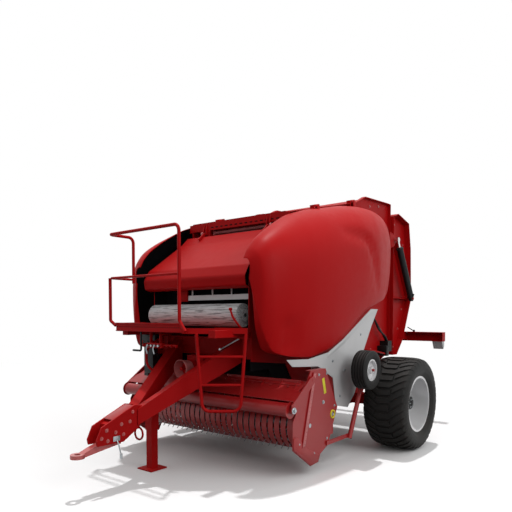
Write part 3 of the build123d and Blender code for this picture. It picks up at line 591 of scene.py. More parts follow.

# side covers: one pressed shell a side, red outside and black inside, the black inside being painted shade
sideCover = {
    "inner": 0.715, "columns": 56, "rows": 30, "sheet": 0.006, "ease": 0.6,
    # y, top, bottom, outermost x of each section from front to rear
    "sections": [(-2.030, 2.000, 1.820, 0.790), (-1.980, 2.085, 1.380, 0.905), (-1.890, 2.180, 1.170, 0.970),
                 (-1.700, 2.310, 1.112, 1.030), (-1.400, 2.470, 1.092, 1.075), (-1.050, 2.580, 1.165, 1.098),
                 (-0.750, 2.645, 1.290, 1.105), (-0.350, 2.735, 1.520, 1.105), (0.000, 2.785, 1.625, 1.080),
                 (0.300, 2.800, 1.680, 1.020), (0.560, 2.770, 1.790, 0.940), (0.760, 2.650, 1.930, 0.860),
                 (0.880, 2.440, 2.060, 0.785)],
    # an upper and a lower arc make a section; these are shares of its width and height
    "upperRows": 0.6, "widestAt": 0.55, "shoulderOut": 0.74, "shoulderDrop": 0.14, "frontFlatter": 0.05,
    "lowerIn": 0.03, "lowerAt": 0.25, "hemIn": 0.14,
    "frontFrom": -1.45, "frontLength": 0.4,
    # the hem turns in, wide at the front and narrow towards the rear
    "hemRows": 6, "hemStop": 0.80, "hemNarrow": 0.02, "hemWider": 0.17, "hemFrom": -1.50, "hemGrow": 0.25,
    "hemLeast": 0.004, "hemRise": 0.012, "hemBack": 0.010,
    "crease": [(-0.79, 2.35), (-0.50, 2.345), (-0.34, 2.32), (-0.20, 2.14), (0.00, 1.78)],
    "creaseDepth": 0.038, "creaseWidth": 0.055, "creaseStart": 0.12, "creaseRun": 0.8,
    "recess": ((-1.80, 1.15), (-1.60, 1.44)), "recessDepth": 0.018, "recessFlank": 0.018,
}
coverHinge = {"x": 0.702, "slope": 0.23, "knuckleRadius": 0.0135, "knuckleLength": 0.078,
              "leafHalf": 0.030, "leafLow": -0.013, "leafTop": -0.006, "leafNear": 0.002, "leafFar": 0.030,
              "strapNear": 0.026, "strapFar": 0.034,
              # y and z of each knuckle, and how far down its strap reaches
              "places": [(-0.80, 2.6665, 0.05), (0.0, 2.8505, 0.09)]}


def between(low, high, value):
    return min(high, max(low, value))


def smoothSection(t):
    # the section at share t of the way from front to rear, eased between the given ones
    rows = sideCover["sections"]
    place = t * (len(rows) - 1)
    index = min(int(place), len(rows) - 2)
    f = place - index
    before, a = rows[max(index - 1, 0)], rows[index]
    b, after = rows[index + 1], rows[min(index + 2, len(rows) - 1)]
    result = []
    for p, q, r, s in zip(before, a, b, after):
        slopeIn, slopeOut = (r - p) / 2 * sideCover["ease"], (s - q) / 2 * sideCover["ease"]
        result.append((2 * f ** 3 - 3 * f ** 2 + 1) * q + (f ** 3 - 2 * f ** 2 + f) * slopeIn
                      + (-2 * f ** 3 + 3 * f ** 2) * r + (f ** 3 - f ** 2) * slopeOut)
    return result


def arcThrough(a, b, c, t):
    # a curve from a through b, halfway, to c
    bend = (2 * b[0] - 0.5 * (a[0] + c[0]), 2 * b[1] - 0.5 * (a[1] + c[1]))
    return tuple((1 - t) ** 2 * a[k] + 2 * t * (1 - t) * bend[k] + t ** 2 * c[k] for k in (0, 1))


def creaseShift(y, z):
    cover = sideCover
    points = cover["crease"]
    nearest, share = math.inf, 0.0
    for number, ((y0, z0), (y1, z1)) in enumerate(zip(points, points[1:])):
        span = (y1 - y0) ** 2 + (z1 - z0) ** 2
        t = between(0, 1, ((y - y0) * (y1 - y0) + (z - z0) * (z1 - z0)) / span)
        away = math.hypot(y - y0 - t * (y1 - y0), z - z0 - t * (z1 - z0))
        if away < nearest:
            nearest, share = away, (number + t) / (len(points) - 1)
    fade = math.sin(math.pi * between(0, 1, cover["creaseStart"] + cover["creaseRun"] * share))
    return cover["creaseDepth"] * math.exp(-(nearest / cover["creaseWidth"]) ** 2) * fade


def recessShift(y, z):
    (y0, z0), (y1, z1) = sideCover["recess"]
    inside = min(y - y0, y1 - y, z - z0, z1 - z)
    return sideCover["recessDepth"] * between(0, 1, inside / sideCover["recessFlank"])


def coverPlace(t, row):
    cover = sideCover
    y, top, bottom, outer = smoothSection(t)
    inner, rows = cover["inner"], cover["rows"]
    width, height = outer - inner, top - bottom
    widest = (outer, bottom + cover["widestAt"] * height)
    front = between(0, 1, (cover["frontFrom"] - y) / cover["frontLength"])
    drop = cover["shoulderDrop"] - cover["frontFlatter"] * front
    v = min(1.0, row / rows)
    upper = cover["upperRows"]
    if v < upper:
        shoulder = (inner + cover["shoulderOut"] * width, top - drop * height)
        x, z = arcThrough((inner, top), shoulder, widest, v / upper)
    else:
        flank = (outer - cover["lowerIn"] * width, bottom + cover["lowerAt"] * height)
        hem = (outer - cover["hemIn"] * width, bottom)
        x, z = arcThrough(widest, flank, hem, (v - upper) / (1 - upper))
    x -= creaseShift(y, z) + recessShift(y, z)
    if row > rows:
        depth = (row - rows) / cover["hemRows"]
        grown = between(0, 1, (cover["hemFrom"] - y) / cover["hemGrow"])
        turnIn = min(x - cover["hemStop"], cover["hemNarrow"] + cover["hemWider"] * grown)
        x -= max(cover["hemLeast"], turnIn) * depth
        z += cover["hemRise"] * depth
        y += cover["hemBack"] * depth * front
    return x, y, z


def hingeKnuckle(side, y, z, reach):
    # barrel, leaf and strap, tilted to the line of the hinge
    hinge = coverHinge
    half, top = hinge["leafHalf"], (hinge["leafHalf"], hinge["leafTop"])
    parts = [disc((0, 0, 0), "y", hinge["knuckleRadius"], hinge["knuckleLength"], 20),
             sideBlock(side, hinge["leafNear"], hinge["leafFar"], (-half, hinge["leafLow"]), top, 0.001),
             sideBlock(side, hinge["strapNear"], hinge["strapFar"], (-half, -reach), top, 0.001)]
    tilt = Matrix.Rotation(math.atan(hinge["slope"]), 4, "X")
    for part in parts:
        part.data.transform(Matrix.Translation((side * hinge["x"], y, z)) @ tilt)
    return joined(parts)


def coverPiece(side, name):
    cover = sideCover
    total = cover["rows"] + cover["hemRows"]
    bpy.ops.mesh.primitive_grid_add(x_subdivisions=cover["columns"], y_subdivisions=total, size=1)
    shell = bpy.context.object
    for vertex in shell.data.vertices:
        x, y, z = coverPlace(vertex.co.x + 0.5, round((0.5 - vertex.co.y) * total))
        vertex.co = (side * x, y, z)
    inEdit(shell, lambda: bpy.ops.mesh.normals_make_consistent(inside=False))
    outermost = max(shell.data.polygons, key=lambda face: side * face.center.x)
    if outermost.normal.x * side < 0:
        inEdit(shell, lambda: bpy.ops.mesh.flip_normals())
    shell.data.materials.clear()
    # the second finish, black, is painted shade on the inside of the shell
    for material in (finish["coverRed"], finish["paintedShadeBlack"]):
        shell.data.materials.append(material)
    applyModifier(shell, "SOLIDIFY", thickness=cover["sheet"], offset=-1, material_offset=1,
                  material_offset_rim=0)
    softEdges(shell, 0.0015, 2, 60)
    body = "cover_left" if side > 0 else "cover_right"
    finished(shell, name, None, body, 50)
    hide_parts("side_cover_left" if side > 0 else "side_cover_right")
    knuckles = joined([hingeKnuckle(side, *place) for place in coverHinge["places"]])
    finished(knuckles, name.replace("pressedCover", "coverKnuckles"), finish["glossRed"], body)


coverPiece(1, "pressedCoverLeft")
coverPiece(-1, "pressedCoverRight")
print("side covers made")

# net bay: black linings on the inner faces of the walls, which are painted shade, caps and nuts of the roll,
# retaining arm, posts and bracket of the guard bar
netShadeSheet = {"near": 0.6525, "far": 0.6549, "low": (-1.884, 1.372), "high": (-1.722, 1.94)}
shadeSheets = bothSides(lambda side: sideBlock(side, *netShadeSheet.values(), 0))
finished(shadeSheets, "netBayShadeSheets", finish["paintedShadeBlack"], "frame")
rollEnd = {"y": -1.9, "z": 1.49, "capX": 0.6262, "capRadius": 0.058, "capThick": 0.004, "nutX": 0.6282,
           "nutSize": 0.012}
caps = bothSides(lambda side: disc((side * rollEnd["capX"], rollEnd["y"], rollEnd["z"]), "x",
                                   rollEnd["capRadius"], rollEnd["capThick"], 36, 0.001))
finished(caps, "rollEndCaps", finish["netWrap"], "frame")
nuts = sideBolts(rollEnd["nutX"], [(rollEnd["y"], rollEnd["z"])], rollEnd["nutSize"])
finished(nuts, "rollEndNuts", finish["blackPaint"], "frame")
rollArm = {"route": [(0.575, -2.045, 1.54), (0.598, -2.04, 1.47), (0.635, -2.03, 1.425),
                     (0.652, -1.975, 1.362)],
           "radius": 0.010, "pin": (0.575, -2.045, 1.545), "pinRadius": 0.014, "pinLength": 0.024}
arm = joined([bentBar(rollArm["route"], rollArm["radius"]),
              disc(rollArm["pin"], "x", rollArm["pinRadius"], rollArm["pinLength"], 18)])
finished(arm, "rollRetainer", finish["glossRed"], "frame")
barPosts = {"x": (-0.12, 0.16, 0.41, 0.63), "radius": 0.008,
            "route": [(-1.84, 1.686), (-1.84, 1.855), (-1.719, 1.862)]}
posts = joined([bentBar([(x, y, z) for y, z in barPosts["route"]], barPosts["radius"]) for x in barPosts["x"]])
finished(posts, "guardBarPosts", finish["silverPaint"], "frame")
barBracket = {"left": -0.315, "right": -0.176, "back": -1.719, "front": -1.862, "low": 1.63, "top": 1.80,
              "plateBack": -1.846, "cheekRight": -0.303}
corner = (barBracket["left"], barBracket["front"], barBracket["low"])
bracket = joined([block(corner, (barBracket["right"], barBracket["plateBack"], barBracket["top"]), 0.002),
                  block(corner, (barBracket["cheekRight"], barBracket["back"], barBracket["top"]), 0.002)])
finished(bracket, "guardBarBracket", finish["glossRed"], "frame")
print("net bay made")

# roof front: slots in the beam, drawn as thin black plates of painted shade, ribbed roller under it, hanger and
# bearings of the hood
beamSlotShade = {"halfLength": 0.018, "halfHeight": 0.006, "front": -1.3012, "back": -1.2995, "firstX": -0.35,
             "pitch": 0.07, "count": 14, "z": 2.478}
slot = block((-beamSlotShade["halfLength"], beamSlotShade["front"], -beamSlotShade["halfHeight"]),
             (beamSlotShade["halfLength"], beamSlotShade["back"], beamSlotShade["halfHeight"]), 0)
slots = repeated(slot, [Matrix.Translation((beamSlotShade["firstX"] + beamSlotShade["pitch"] * step, 0, beamSlotShade["z"]))
                        for step in range(beamSlotShade["count"])])
finished(slots, "beamSlotShade", finish["paintedShadeBlack"], "frame")
ribbedRoller = {"y": -1.238, "z": 2.424, "from": -0.36, "to": 0.60, "low": 0.014, "high": 0.022,
                "pitch": 0.024, "tip": 0.001, "holderX": (-0.362, 0.606), "holderHalf": 0.005,
                "holderLow": (-1.264, 2.396), "holderHigh": (-1.212, 2.4515)}


def rollerProfile(roller):
    # one rib a pitch: up, along its crown, down
    along, pitch = roller["from"], roller["pitch"]
    profile = [(along, roller["tip"])]
    while along < roller["to"] - pitch:
        profile += [(along, roller["low"]), (along + 0.35 * pitch, roller["high"]),
                    (along + 0.6 * pitch, roller["high"]), (along + 0.95 * pitch, roller["low"])]
        along += pitch
    return profile + [(along, roller["tip"])]


# the roller's pale pink is red with a painted sheen
parts = [turned(rollerProfile(ribbedRoller), (0, ribbedRoller["y"], ribbedRoller["z"]), "x", 20)]
parts += [block((x - ribbedRoller["holderHalf"], *ribbedRoller["holderLow"]),
                (x + ribbedRoller["holderHalf"], *ribbedRoller["holderHigh"]), 0.002)
          for x in ribbedRoller["holderX"]]
finished(joined(parts), "ribbedGuideRoller", finish["sheenPaintedRed"], "frame")
beamHanger = {"body": ((-0.53, -1.295, 2.35), (-0.395, -1.21, 2.4515)),
              "flange": ((-0.54, -1.298, 2.43), (-0.385, -1.20, 2.4515))}
hanger = joined([block(*beamHanger["body"], 0.004), block(*beamHanger["flange"], 0.002)])
finished(hanger, "beamHanger", finish["glossRed"], "frame")
hoodBearing = {"x": 0.487, "y": -1.312, "z": 2.41, "radius": 0.026, "thick": 0.020, "boltX": 0.497,
               "boltSize": 0.010}
# the bearings' pale pink is red with a painted sheen
housings = bothSides(lambda side: disc((side * hoodBearing["x"], hoodBearing["y"], hoodBearing["z"]), "x",
                                       hoodBearing["radius"], hoodBearing["thick"], 28, 0.003))
bolts = sideBolts(hoodBearing["boltX"], [(hoodBearing["y"], hoodBearing["z"])], hoodBearing["boltSize"])
finished(joined([housings, bolts]), "hoodBearings", finish["sheenPaintedRed"], "frame")
print("roof front made")

# drawbar: cover plate of the nose, bolts of the cheeks, latch, guard round the drive stub
nosePlate = {"half": 0.0555,
             "outline": [(-2.965, 0.602), (-2.745, 0.6955), (-2.745, 0.7035), (-2.965, 0.610)]}
plate = cutPlate(nosePlate["outline"], "x", -nosePlate["half"], nosePlate["half"], 0.001)
finished(plate, "nosePlate", finish["pressedRed"], "frame")
cheekBolts = {"x": 0.070, "size": 0.011,
              "spots": [(-3.08, 0.47), (-3.02, 0.44), (-3.03, 0.53), (-2.94, 0.50), (-2.86, 0.47),
                        (-2.88, 0.56), (-2.79, 0.57), (-2.76, 0.65)]}
finished(sideBolts(cheekBolts["x"], cheekBolts["spots"], cheekBolts["size"]), "cheekBolts", finish["wornRed"],
         "frame")
drawbarLatch = {"plate": ((0.070, -2.97, 0.425), (0.078, -2.90, 0.468)), "leverRadius": 0.006,
                "lever": [(0.074, -2.93, 0.43), (0.086, -2.925, 0.40), (0.086, -2.90, 0.30)],
                "knob": (0.086, -2.899, 0.292), "knobRadius": 0.012, "knobLength": 0.045}
latch = joined([block(*drawbarLatch["plate"]),
                bentBar(drawbarLatch["lever"], drawbarLatch["leverRadius"], 0.02),
                disc(drawbarLatch["knob"], "z", drawbarLatch["knobRadius"], drawbarLatch["knobLength"], 16,
                     0.004)])
finished(latch, "drawbarLatch", finish["greySteel"], "frame")
shaftGuard = {"centre": (0, -2.02, 0.97),
              "profile": [(-0.115, 0.084), (0.0, 0.071), (0.0, 0.075), (-0.112, 0.089)]}
# the guard's pale pink is red with a painted sheen
finished(turned(shaftGuard["profile"], shaftGuard["centre"], "y", 36), "shaftGuard", finish["sheenPaintedRed"],
         "frame")

# under the platform: valve bank with its fittings, feed pipe, chest, steady rod, and dark screens behind that
# are painted shade
valveBank = {"body": ((-0.27, -2.315, 1.175), (-0.06, -2.265, 1.222)), "barRadius": 0.009,
             "bar": [(-0.36, -2.29, 1.196), (0.13, -2.29, 1.206)],
             "hangerX": (-0.235, -0.095), "hangerHalf": 0.005, "hangerLow": (-2.305, 1.21),
             "hangerHigh": (-2.275, 1.3535),
             "collarX": (-0.335, -0.30, 0.0, 0.06, 0.12), "collarY": -2.29, "collarZ": 1.20,
             "collarRadius": 0.017, "collarLength": 0.012}
bank = [block(*valveBank["body"], 0.004), bentBar(valveBank["bar"], valveBank["barRadius"], 0.0)]
bank += [block((x - valveBank["hangerHalf"], *valveBank["hangerLow"]),
               (x + valveBank["hangerHalf"], *valveBank["hangerHigh"]), 0.001) for x in valveBank["hangerX"]]
bank += [disc((x, valveBank["collarY"], valveBank["collarZ"]), "x", valveBank["collarRadius"],
              valveBank["collarLength"], 20) for x in valveBank["collarX"]]
finished(joined(bank), "valveBank", finish["glossRed"], "frame")
valveFittings = {"x": (-0.24, -0.19, -0.14, -0.09), "y": -2.327, "z": 1.198, "radius": 0.012, "length": 0.024,
                 "elbowX": (-0.24, -0.14), "elbowRadius": 0.006,
                 # how far each point of an elbow is out from x, then its y and z
                 "elbow": [(0, -2.338, 1.198), (0, -2.352, 1.17), (0.01, -2.345, 1.12)]}
fittings = [disc((x, valveFittings["y"], valveFittings["z"]), "y", valveFittings["radius"],
                 valveFittings["length"], 16) for x in valveFittings["x"]]
fittings += [bentBar([(x + shift, y, z) for shift, y, z in valveFittings["elbow"]],
                     valveFittings["elbowRadius"], 0.015) for x in valveFittings["elbowX"]]
finished(joined(fittings), "valveFittings", finish["greySteel"], "frame")
feedPipe = {"radius": 0.013, "bend": 0.06,
            "route": [(-0.46, -2.0, 1.24), (-0.45, -2.14, 1.18), (-0.40, -2.22, 1.10), (-0.36, -2.24, 0.98),
                      (-0.29, -2.16, 0.90), (-0.235, -2.12, 0.86)]}
finished(bentBar(feedPipe["route"], feedPipe["radius"], feedPipe["bend"]), "feedPipe", finish["glossRed"],
         "frame")
hoseChest = {"top": ((-0.70, -2.045, 1.225), (-0.47, -1.955, 1.289)),
             "column": ((-0.645, -2.036, 0.88), (-0.515, -1.964, 1.23))}
chest = joined([block(*hoseChest["top"], 0.004), block(*hoseChest["column"], 0.006)])
finished(chest, "hoseChest", finish["blackPaint"], "frame")
steadyRod = {"route": [(0.315, -1.90, 1.158), (0.60, -1.90, 1.292)], "radius": 0.007,
             "eyes": [(0.315, -1.90, 1.160), (0.60, -1.90, 1.288)], "eyeRadius": 0.014, "eyeLength": 0.016}
rod = joined([bentBar(steadyRod["route"], steadyRod["radius"], 0.0)]
             + [disc(eye, "y", steadyRod["eyeRadius"], steadyRod["eyeLength"], 18)
                for eye in steadyRod["eyes"]])
finished(rod, "steadyRod", finish["greySteel"], "frame")
# black plates of painted shade inside the walls and across the feed opening
feedShadeScreens = {"near": 0.6455, "far": 0.6515,
               "crossLow": (-0.652, -1.312, 0.93), "crossHigh": (0.652, -1.304, 1.362),
               "outline": [(-1.85, 1.068), (-1.85, 0.965), (-1.57, 0.965), (-1.49, 0.80), (-1.165, 0.80),
                           (-1.29, 0.995), (-1.29, 1.068)]}
shadeScreens = joined([sidePlates(feedShadeScreens["outline"], feedShadeScreens["near"], feedShadeScreens["far"], 0),
                  block(feedShadeScreens["crossLow"], feedShadeScreens["crossHigh"], 0)])
finished(shadeScreens, "feedShadeScreens", finish["paintedShadeBlack"], "frame")
print("drawbar details made")

# pick-up: stripes with studs, blank plates, rings and skids on the end panels
panelStripe = {"near": 1.1425, "far": 1.1455,
               "outline": [(-1.525, 0.950), (-1.484, 0.950), (-1.669, 0.300), (-1.710, 0.300)],
               "studX": 1.1465, "studRadius": 0.006, "studThick": 0.003, "studFirst": (-1.508, 0.93),
               "studStep": (-0.0099, -0.036), "studs": 18}
# the stripes' pale pink is red with a painted sheen
finished(sidePlates(panelStripe["outline"], panelStripe["near"], panelStripe["far"]), "panelStripes",
         finish["sheenPaintedRed"], "pickup")


def studRow(side):
    stripe = panelStripe
    (firstY, firstZ), (stepY, stepZ) = stripe["studFirst"], stripe["studStep"]
    stud = disc((side * stripe["studX"], 0, 0), "x", stripe["studRadius"], stripe["studThick"], 10, 0.001)
    return repeated(stud, [Matrix.Translation((0, firstY + stepY * step, firstZ + stepZ * step))
                           for step in range(stripe["studs"])])


finished(bothSides(studRow), "stripeStuds", finish["wornRed"], "pickup")
blankPlate = {"near": 1.1325, "far": 1.1350,
              "outline": [(-1.325, 0.735), (-1.285, 0.745), (-1.325, 0.895), (-1.365, 0.885)]}
finished(sidePlates(blankPlate["outline"], blankPlate["near"], blankPlate["far"], 0.0005), "blankPlates",
         finish["plateYellow"], "pickup")
panelRing = {"x": 1.137, "y": -1.165, "z": 0.52,
             "profile": [(-0.004, 0.028), (-0.004, 0.044), (0.004, 0.042), (0.004, 0.030)]}
rings = bothSides(lambda side: turned(panelRing["profile"],
                                      (side * panelRing["x"], panelRing["y"], panelRing["z"]), "x", 32))
finished(rings, "panelRings", finish["plateYellow"], "pickup")
skidShoe = {"near": 1.1325, "far": 1.1395,
            "outline": [(-1.845, 0.40), (-1.845, 0.296), (-1.559, 0.094), (-1.434, 0.104), (-1.40, 0.165),
                        (-1.60, 0.255), (-1.80, 0.405)]}
finished(sidePlates(skidShoe["outline"], skidShoe["near"], skidShoe["far"], 0.002), "skidShoes",
         finish["pressedRed"], "pickup")
panelNuts = {"x": 1.133, "large": 0.013, "small": 0.009, "largeSpots": [(-1.165, 0.52), (-1.34, 0.66)],
             "smallSpots": [(-1.50, 0.20), (-1.75, 0.33), (-1.28, 0.93), (-1.42, 0.93), (-1.13, 0.60),
                            (-1.27, 0.30)]}
nuts = joined([sideBolts(panelNuts["x"], panelNuts["largeSpots"], panelNuts["large"]),
               sideBolts(panelNuts["x"], panelNuts["smallSpots"], panelNuts["small"])])
finished(nuts, "panelNuts", finish["greySteel"], "pickup")

# wind guard: end nuts of the crop roller, folded stiffener with ribs and bolts
rollerNut = {"y": -1.88, "z": 0.655, "plateX": 1.166, "plateRadius": 0.030, "plateThick": 0.012, "nutX": 1.172,
             "nutSize": 0.016}
plates = bothSides(lambda side: disc((side * rollerNut["plateX"], rollerNut["y"], rollerNut["z"]), "x",
                                     rollerNut["plateRadius"], rollerNut["plateThick"], 28, 0.003))
nuts = sideBolts(rollerNut["nutX"], [(rollerNut["y"], rollerNut["z"])], rollerNut["nutSize"])
finished(joined([plates, nuts]), "rollerNuts", finish["greySteel"], "guard")
guardStiffener = {"near": 0.17, "far": 1.08, "ribX": (0.22, 0.44, 0.66, 0.88, 1.05), "ribHalf": 0.002,
                  "fold": [(-1.665, 0.842), (-1.625, 0.860), (-1.640, 0.893), (-1.646, 0.890),
                           (-1.636, 0.866), (-1.668, 0.851)],
                  "rib": [(-1.715, 0.819), (-1.648, 0.849), (-1.650, 0.882)],
                  "boltX": (0.33, 0.55, 0.77, 0.97), "boltY": -1.69, "boltZ": 0.832, "boltSize": 0.009}
parts = [sidePlates(guardStiffener["fold"], guardStiffener["near"], guardStiffener["far"])]
parts += [sidePlates(guardStiffener["rib"], x - guardStiffener["ribHalf"], x + guardStiffener["ribHalf"], 0)
          for x in guardStiffener["ribX"]]
parts.append(bothSides(lambda side: boltRow(
    [(side * x, guardStiffener["boltY"], guardStiffener["boltZ"]) for x in guardStiffener["boltX"]], "z",
    guardStiffener["boltSize"])))
finished(joined(parts), "guardStiffener", finish["pressedRed"], "guard")
print("pick-up details made")

# silver panels: raised border along the upper edge, and bolts
fenderBorder = {"near": 1.0635, "far": 1.0670,
                "outline": [(-1.145, 1.116), (-0.850, 1.229), (-0.202, 1.556), (-0.100, 1.556),
                            (-0.150, 1.512), (-0.215, 1.506), (-0.838, 1.184), (-1.145, 1.070)]}
finished(sidePlates(fenderBorder["outline"], fenderBorder["near"], fenderBorder["far"], 0.0015),
         "fenderBorders", finish["silverPaint"], "frame")
fenderBolts = {"x": 1.064, "size": 0.010, "spots": [(-0.80, 0.92), (-0.90, 0.66), (-1.05, 1.03), (-0.45, 1.28)]}
finished(sideBolts(fenderBolts["x"], fenderBolts["spots"], fenderBolts["size"]), "fenderBolts",
         finish["greySteel"], "frame")

# wheels: nuts round the disc and the hub, and a cap on the hub
wheelNuts = {"discX": 1.283, "discCircle": 0.106, "discCount": 8, "discSize": 0.013,
             "hubX": 1.466, "hubCircle": 0.046, "hubCount": 6, "hubSize": 0.008}
hubCap = {"x": 1.4545, "profile": [(0, 0.001), (0, 0.060), (0.012, 0.060), (0.016, 0.030), (0.024, 0.028),
                                   (0.026, 0.001)]}


def nutCircle(side, place):
    # place is disc or hub, as in the names of the values
    radius, count = wheelNuts[place + "Circle"], wheelNuts[place + "Count"]
    turns = [step * math.tau / count for step in range(count)]
    spots = [(side * wheelNuts[place + "X"], radius * math.cos(turn), mainTyre["z"] + radius * math.sin(turn))
             for turn in turns]
    return boltRow(spots, "x", wheelNuts[place + "Size"], side)


for side, body, end in ((1, "wheel_left", "Left"), (-1, "wheel_right", "Right")):
    cap = turned(hubCap["profile"], (0, 0, 0), "x", 32)
    cap.data.transform(Matrix.Translation((side * hubCap["x"], 0, mainTyre["z"]))
                       @ Matrix.Scale(side, 4, (1, 0, 0)))
    inEdit(cap, cleanUp)
    nuts = joined([nutCircle(side, "disc"), nutCircle(side, "hub")])
    finished(nuts, "wheelNuts" + end, finish["greySteel"], body)
    finished(cap, "hubCap" + end, finish["blackPaint"], body)
print("wheels detailed")

# tailgate cylinders: gland at the rod's end, ring and port at the foot
cylinderGland = {"foot": (0.820, 1.550, 1.730), "towards": (-0.480, 0.770),
                 "gland": [(0.765, 0.0175), (0.765, 0.047), (0.782, 0.047), (0.792, 0.040), (0.800, 0.022),
                           (0.800, 0.0175)],
                 "ring": [(0.030, 0.041), (0.030, 0.046), (0.050, 0.046), (0.050, 0.041)],
                 "portOut": 0.046, "portAlong": 0.06, "portRadius": 0.012, "portLength": 0.020}
for side, body, end in ((1, "barrel_left", "Left"), (-1, "barrel_right", "Right")):
    x, y, z = cylinderGland["foot"]
    alongY, alongZ = cylinderGland["towards"]
    port = (side * cylinderGland["portOut"], cylinderGland["portAlong"], 0)
    whole = joined([turned(cylinderGland["gland"], (0, 0, 0), "y", 32),
                    disc(port, "x", cylinderGland["portRadius"], cylinderGland["portLength"], 16),
                    turned(cylinderGland["ring"], (0, 0, 0), "y", 32)])
    whole.data.transform(Matrix.Translation((side * x, y, z))
                         @ Matrix.Rotation(math.atan2(alongZ, alongY), 4, "X"))
    finished(whole, "cylinderGland" + end, finish["blackPaint"], body)

# rear: knob rods on the tailgate, hoses with their box and a red pipe on the left wall
knobRod = {"x": 0.745, "from": (1.63, 1.32), "to": (1.85, 1.262), "radius": 0.007, "knob": (1.858, 1.262),
           "knobRadius": 0.016, "knobLength": 0.034}
rods = bothSides(lambda side: joined([
    bentBar([(side * knobRod["x"], *knobRod["from"]), (side * knobRod["x"], *knobRod["to"])],
            knobRod["radius"], 0.0),
    disc((side * knobRod["x"], *knobRod["knob"]), "z", knobRod["knobRadius"], knobRod["knobLength"], 18,
         0.006)]))
finished(rods, "knobRods", finish["blackPaint"], "tailgate")
rearHoses = {"count": 3, "radius": 0.011, "bend": 0.06, "box": ((0.666, 0.80, 0.955), (0.80, 0.872, 1.09)),
             "route": [(0.672, 0.62, 1.50), (0.72, 0.72, 1.34), (0.735, 0.84, 1.22), (0.725, 0.93, 1.148)],
             # how far each next hose lies from the one before it, point by point
             "apart": [(0, 0.03, -0.02), (0, 0, -0.02), (0.012, 0, 0), (0.012, 0, 0)]}
hoses = [bentBar([Vector(point) + number * Vector(shift)
                  for point, shift in zip(rearHoses["route"], rearHoses["apart"])],
                 rearHoses["radius"], rearHoses["bend"]) for number in range(rearHoses["count"])]
finished(joined(hoses + [block(*rearHoses["box"], 0.006)]), "rearHoses", finish["blackPaint"], "frame")
rearPipe = {"radius": 0.011, "bend": 0.04,
            "route": [(0.672, 0.40, 1.06), (0.735, 0.44, 1.05), (0.76, 0.62, 1.02), (0.77, 0.79, 0.99),
                      (0.77, 0.803, 0.985)]}
finished(bentBar(rearPipe["route"], rearPipe["radius"], rearPipe["bend"]), "rearPipe", finish["glossRed"],
         "frame")
print("rear details made")

# platform: lips of the front board, and black discs of painted shade where its holes are
frontBoard = {"left": -0.684, "right": 0.276, "back": -2.3695, "lipFront": -2.3765, "lipLow": 1.402,
              "lipTop": 1.4165, "seamFront": -2.3755, "seamLow": 1.334, "seamTop": 1.342,
              "holeFace": -2.3702, "holeZ": 1.376, "holeRadius": 0.006, "holeFirst": -0.66,
              "holePitch": 0.03, "holes": 31}
lips = joined([block((frontBoard["left"], frontBoard[edge + "Front"], frontBoard[edge + "Low"]),
                     (frontBoard["right"], frontBoard["back"], frontBoard[edge + "Top"]), 0.0015)
               for edge in ("lip", "seam")])
finished(lips, "boardLips", finish["glossRed"], "frame")
# each hole is a thin black disc of painted shade
hole = disc((0, frontBoard["holeFace"], frontBoard["holeZ"]), "y", frontBoard["holeRadius"], 0.0016, 10, 0.0002)
holes = repeated(hole, [Matrix.Translation((frontBoard["holeFirst"] + frontBoard["holePitch"] * step, 0, 0))
                        for step in range(frontBoard["holes"])])
finished(holes, "boardHoleShade", finish["paintedShadeBlack"], "frame")

# bolts along the side walls and the tailgate
plateBolts = {"x": 0.663, "size": 0.011,
              "wall": [(0.30, 1.10), (0.60, 1.05), (0.90, 1.30), (1.00, 1.80), (1.00, 2.10), (0.55, 2.88),
                       (0.80, 2.92)],
              "gate": [(1.30, 1.05), (1.45, 1.30), (1.58, 1.58), (1.62, 2.10), (1.60, 2.50), (1.30, 2.75),
                       (1.20, 2.20), (1.20, 1.50)]}
finished(sideBolts(plateBolts["x"], plateBolts["wall"], plateBolts["size"]), "wallBolts", finish["wornRed"],
         "frame")
finished(sideBolts(plateBolts["x"], plateBolts["gate"], plateBolts["size"]), "gateBolts", finish["wornRed"],
         "tailgate")
print("bolts made")

# stage: pale floor, overhead sun, a large light from the left and a sky that is white to the camera
stageSetup = {"floor": 60.0, "floorSeen": 0.86, "floorLit": 0.10, "fadeFrom": 3.5, "fadeTo": 12.0,
              "sun": 1.75, "sunAngle": 1.6, "sunFrom": (-0.12, 0.20, 1.0),
              "horizon": 0.36, "zenith": 0.80, "below": 0.07,
              "side": 150.0, "sidePlace": (6.5, -0.6, 4.6), "sideAim": (0.5, 0.3, 1.4), "sideSize": 4.0}


def seenRays(tree):
    # 1 for rays that the camera sees, straight or by reflection, 0 for those that light the machine
    rays = addNode(tree, "ShaderNodeLightPath").outputs
    return maths(tree, "MAXIMUM", rays["Is Camera Ray"],
                 maths(tree, "MAXIMUM", rays["Is Glossy Ray"], rays["Is Transmission Ray"]))


def grey(value):
    return (value, value, value, 1)


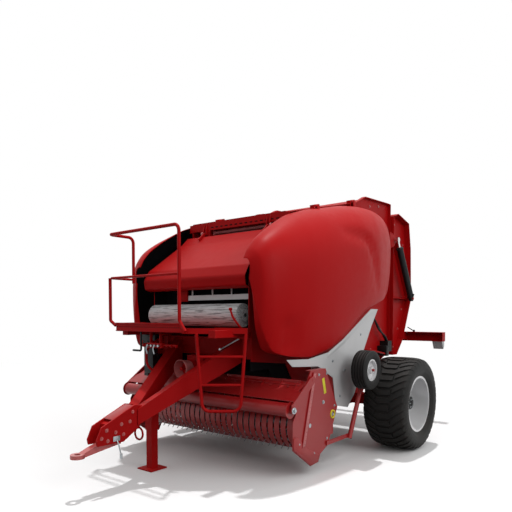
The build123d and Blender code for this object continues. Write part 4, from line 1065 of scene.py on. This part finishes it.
def makeFloor():
    deselect()
    bpy.ops.mesh.primitive_plane_add(size=stageSetup["floor"], location=(0, 0, 0))
    floor = bpy.context.object
    floor.name = "paleFloor"
    material = bpy.data.materials.new("paleFloor")
    material.use_nodes = True
    tree = material.node_tree
    tree.nodes.remove(tree.nodes["Principled BSDF"])
    seen = seenRays(tree)
    shade = mixed(tree, seen, grey(stageSetup["floorLit"]), grey(stageSetup["floorSeen"]))
    lit = addNode(tree, "ShaderNodeBsdfDiffuse", {"Color": shade})
    glow = addNode(tree, "ShaderNodeEmission", {"Color": grey(1), "Strength": 1.0})
    place = addNode(tree, "ShaderNodeTexCoord").outputs["Object"]
    away = addNode(tree, "ShaderNodeVectorMath", {0: place}, operation="LENGTH").outputs["Value"]
    fade = ranged(tree, away, stageSetup["fadeFrom"], stageSetup["fadeTo"], 0.0, 1.0)
    both = addNode(tree, "ShaderNodeMixShader", {0: maths(tree, "MULTIPLY", fade, seen), 1: lit.outputs[0],
                                                 2: glow.outputs[0]})
    tree.links.new(both.outputs[0], tree.nodes["Material Output"].inputs["Surface"])
    floor.data.materials.append(material)


def makeSky():
    world = bpy.data.worlds.new("studio")
    scene.world = world
    world.use_nodes = True
    tree = world.node_tree
    seen = seenRays(tree)
    towards = addNode(tree, "ShaderNodeTexCoord").outputs["Generated"]
    up = addNode(tree, "ShaderNodeSeparateXYZ", {0: towards}).outputs[2]
    sky = ranged(tree, up, 0.0, 1.0, stageSetup["horizon"], stageSetup["zenith"])
    dome = ranged(tree, maths(tree, "GREATER_THAN", up, 0.0), 0.0, 1.0, stageSetup["below"], sky)
    shade = addNode(tree, "ShaderNodeCombineColor", {0: dome, 1: dome, 2: dome}).outputs[0]
    back = tree.nodes["Background"]
    tree.links.new(mixed(tree, seen, shade, grey(1)), back.inputs["Color"])
    back.inputs["Strength"].default_value = 1.0


def makeLights():
    bpy.ops.object.light_add(type="SUN", location=(0, 0, 8))
    sun = bpy.context.object
    sun.data.energy = stageSetup["sun"]
    sun.data.angle = math.radians(stageSetup["sunAngle"])
    sun.rotation_euler = Vector(stageSetup["sunFrom"]).to_track_quat("Z", "Y").to_euler()
    bpy.ops.object.light_add(type="AREA", location=stageSetup["sidePlace"])
    lamp = bpy.context.object
    lamp.data.energy = stageSetup["side"]
    lamp.data.size = stageSetup["sideSize"]
    away = Vector(stageSetup["sidePlace"]) - Vector(stageSetup["sideAim"])
    lamp.rotation_euler = away.to_track_quat("Z", "Y").to_euler()


makeFloor()
makeSky()
makeLights()
print("stage set")
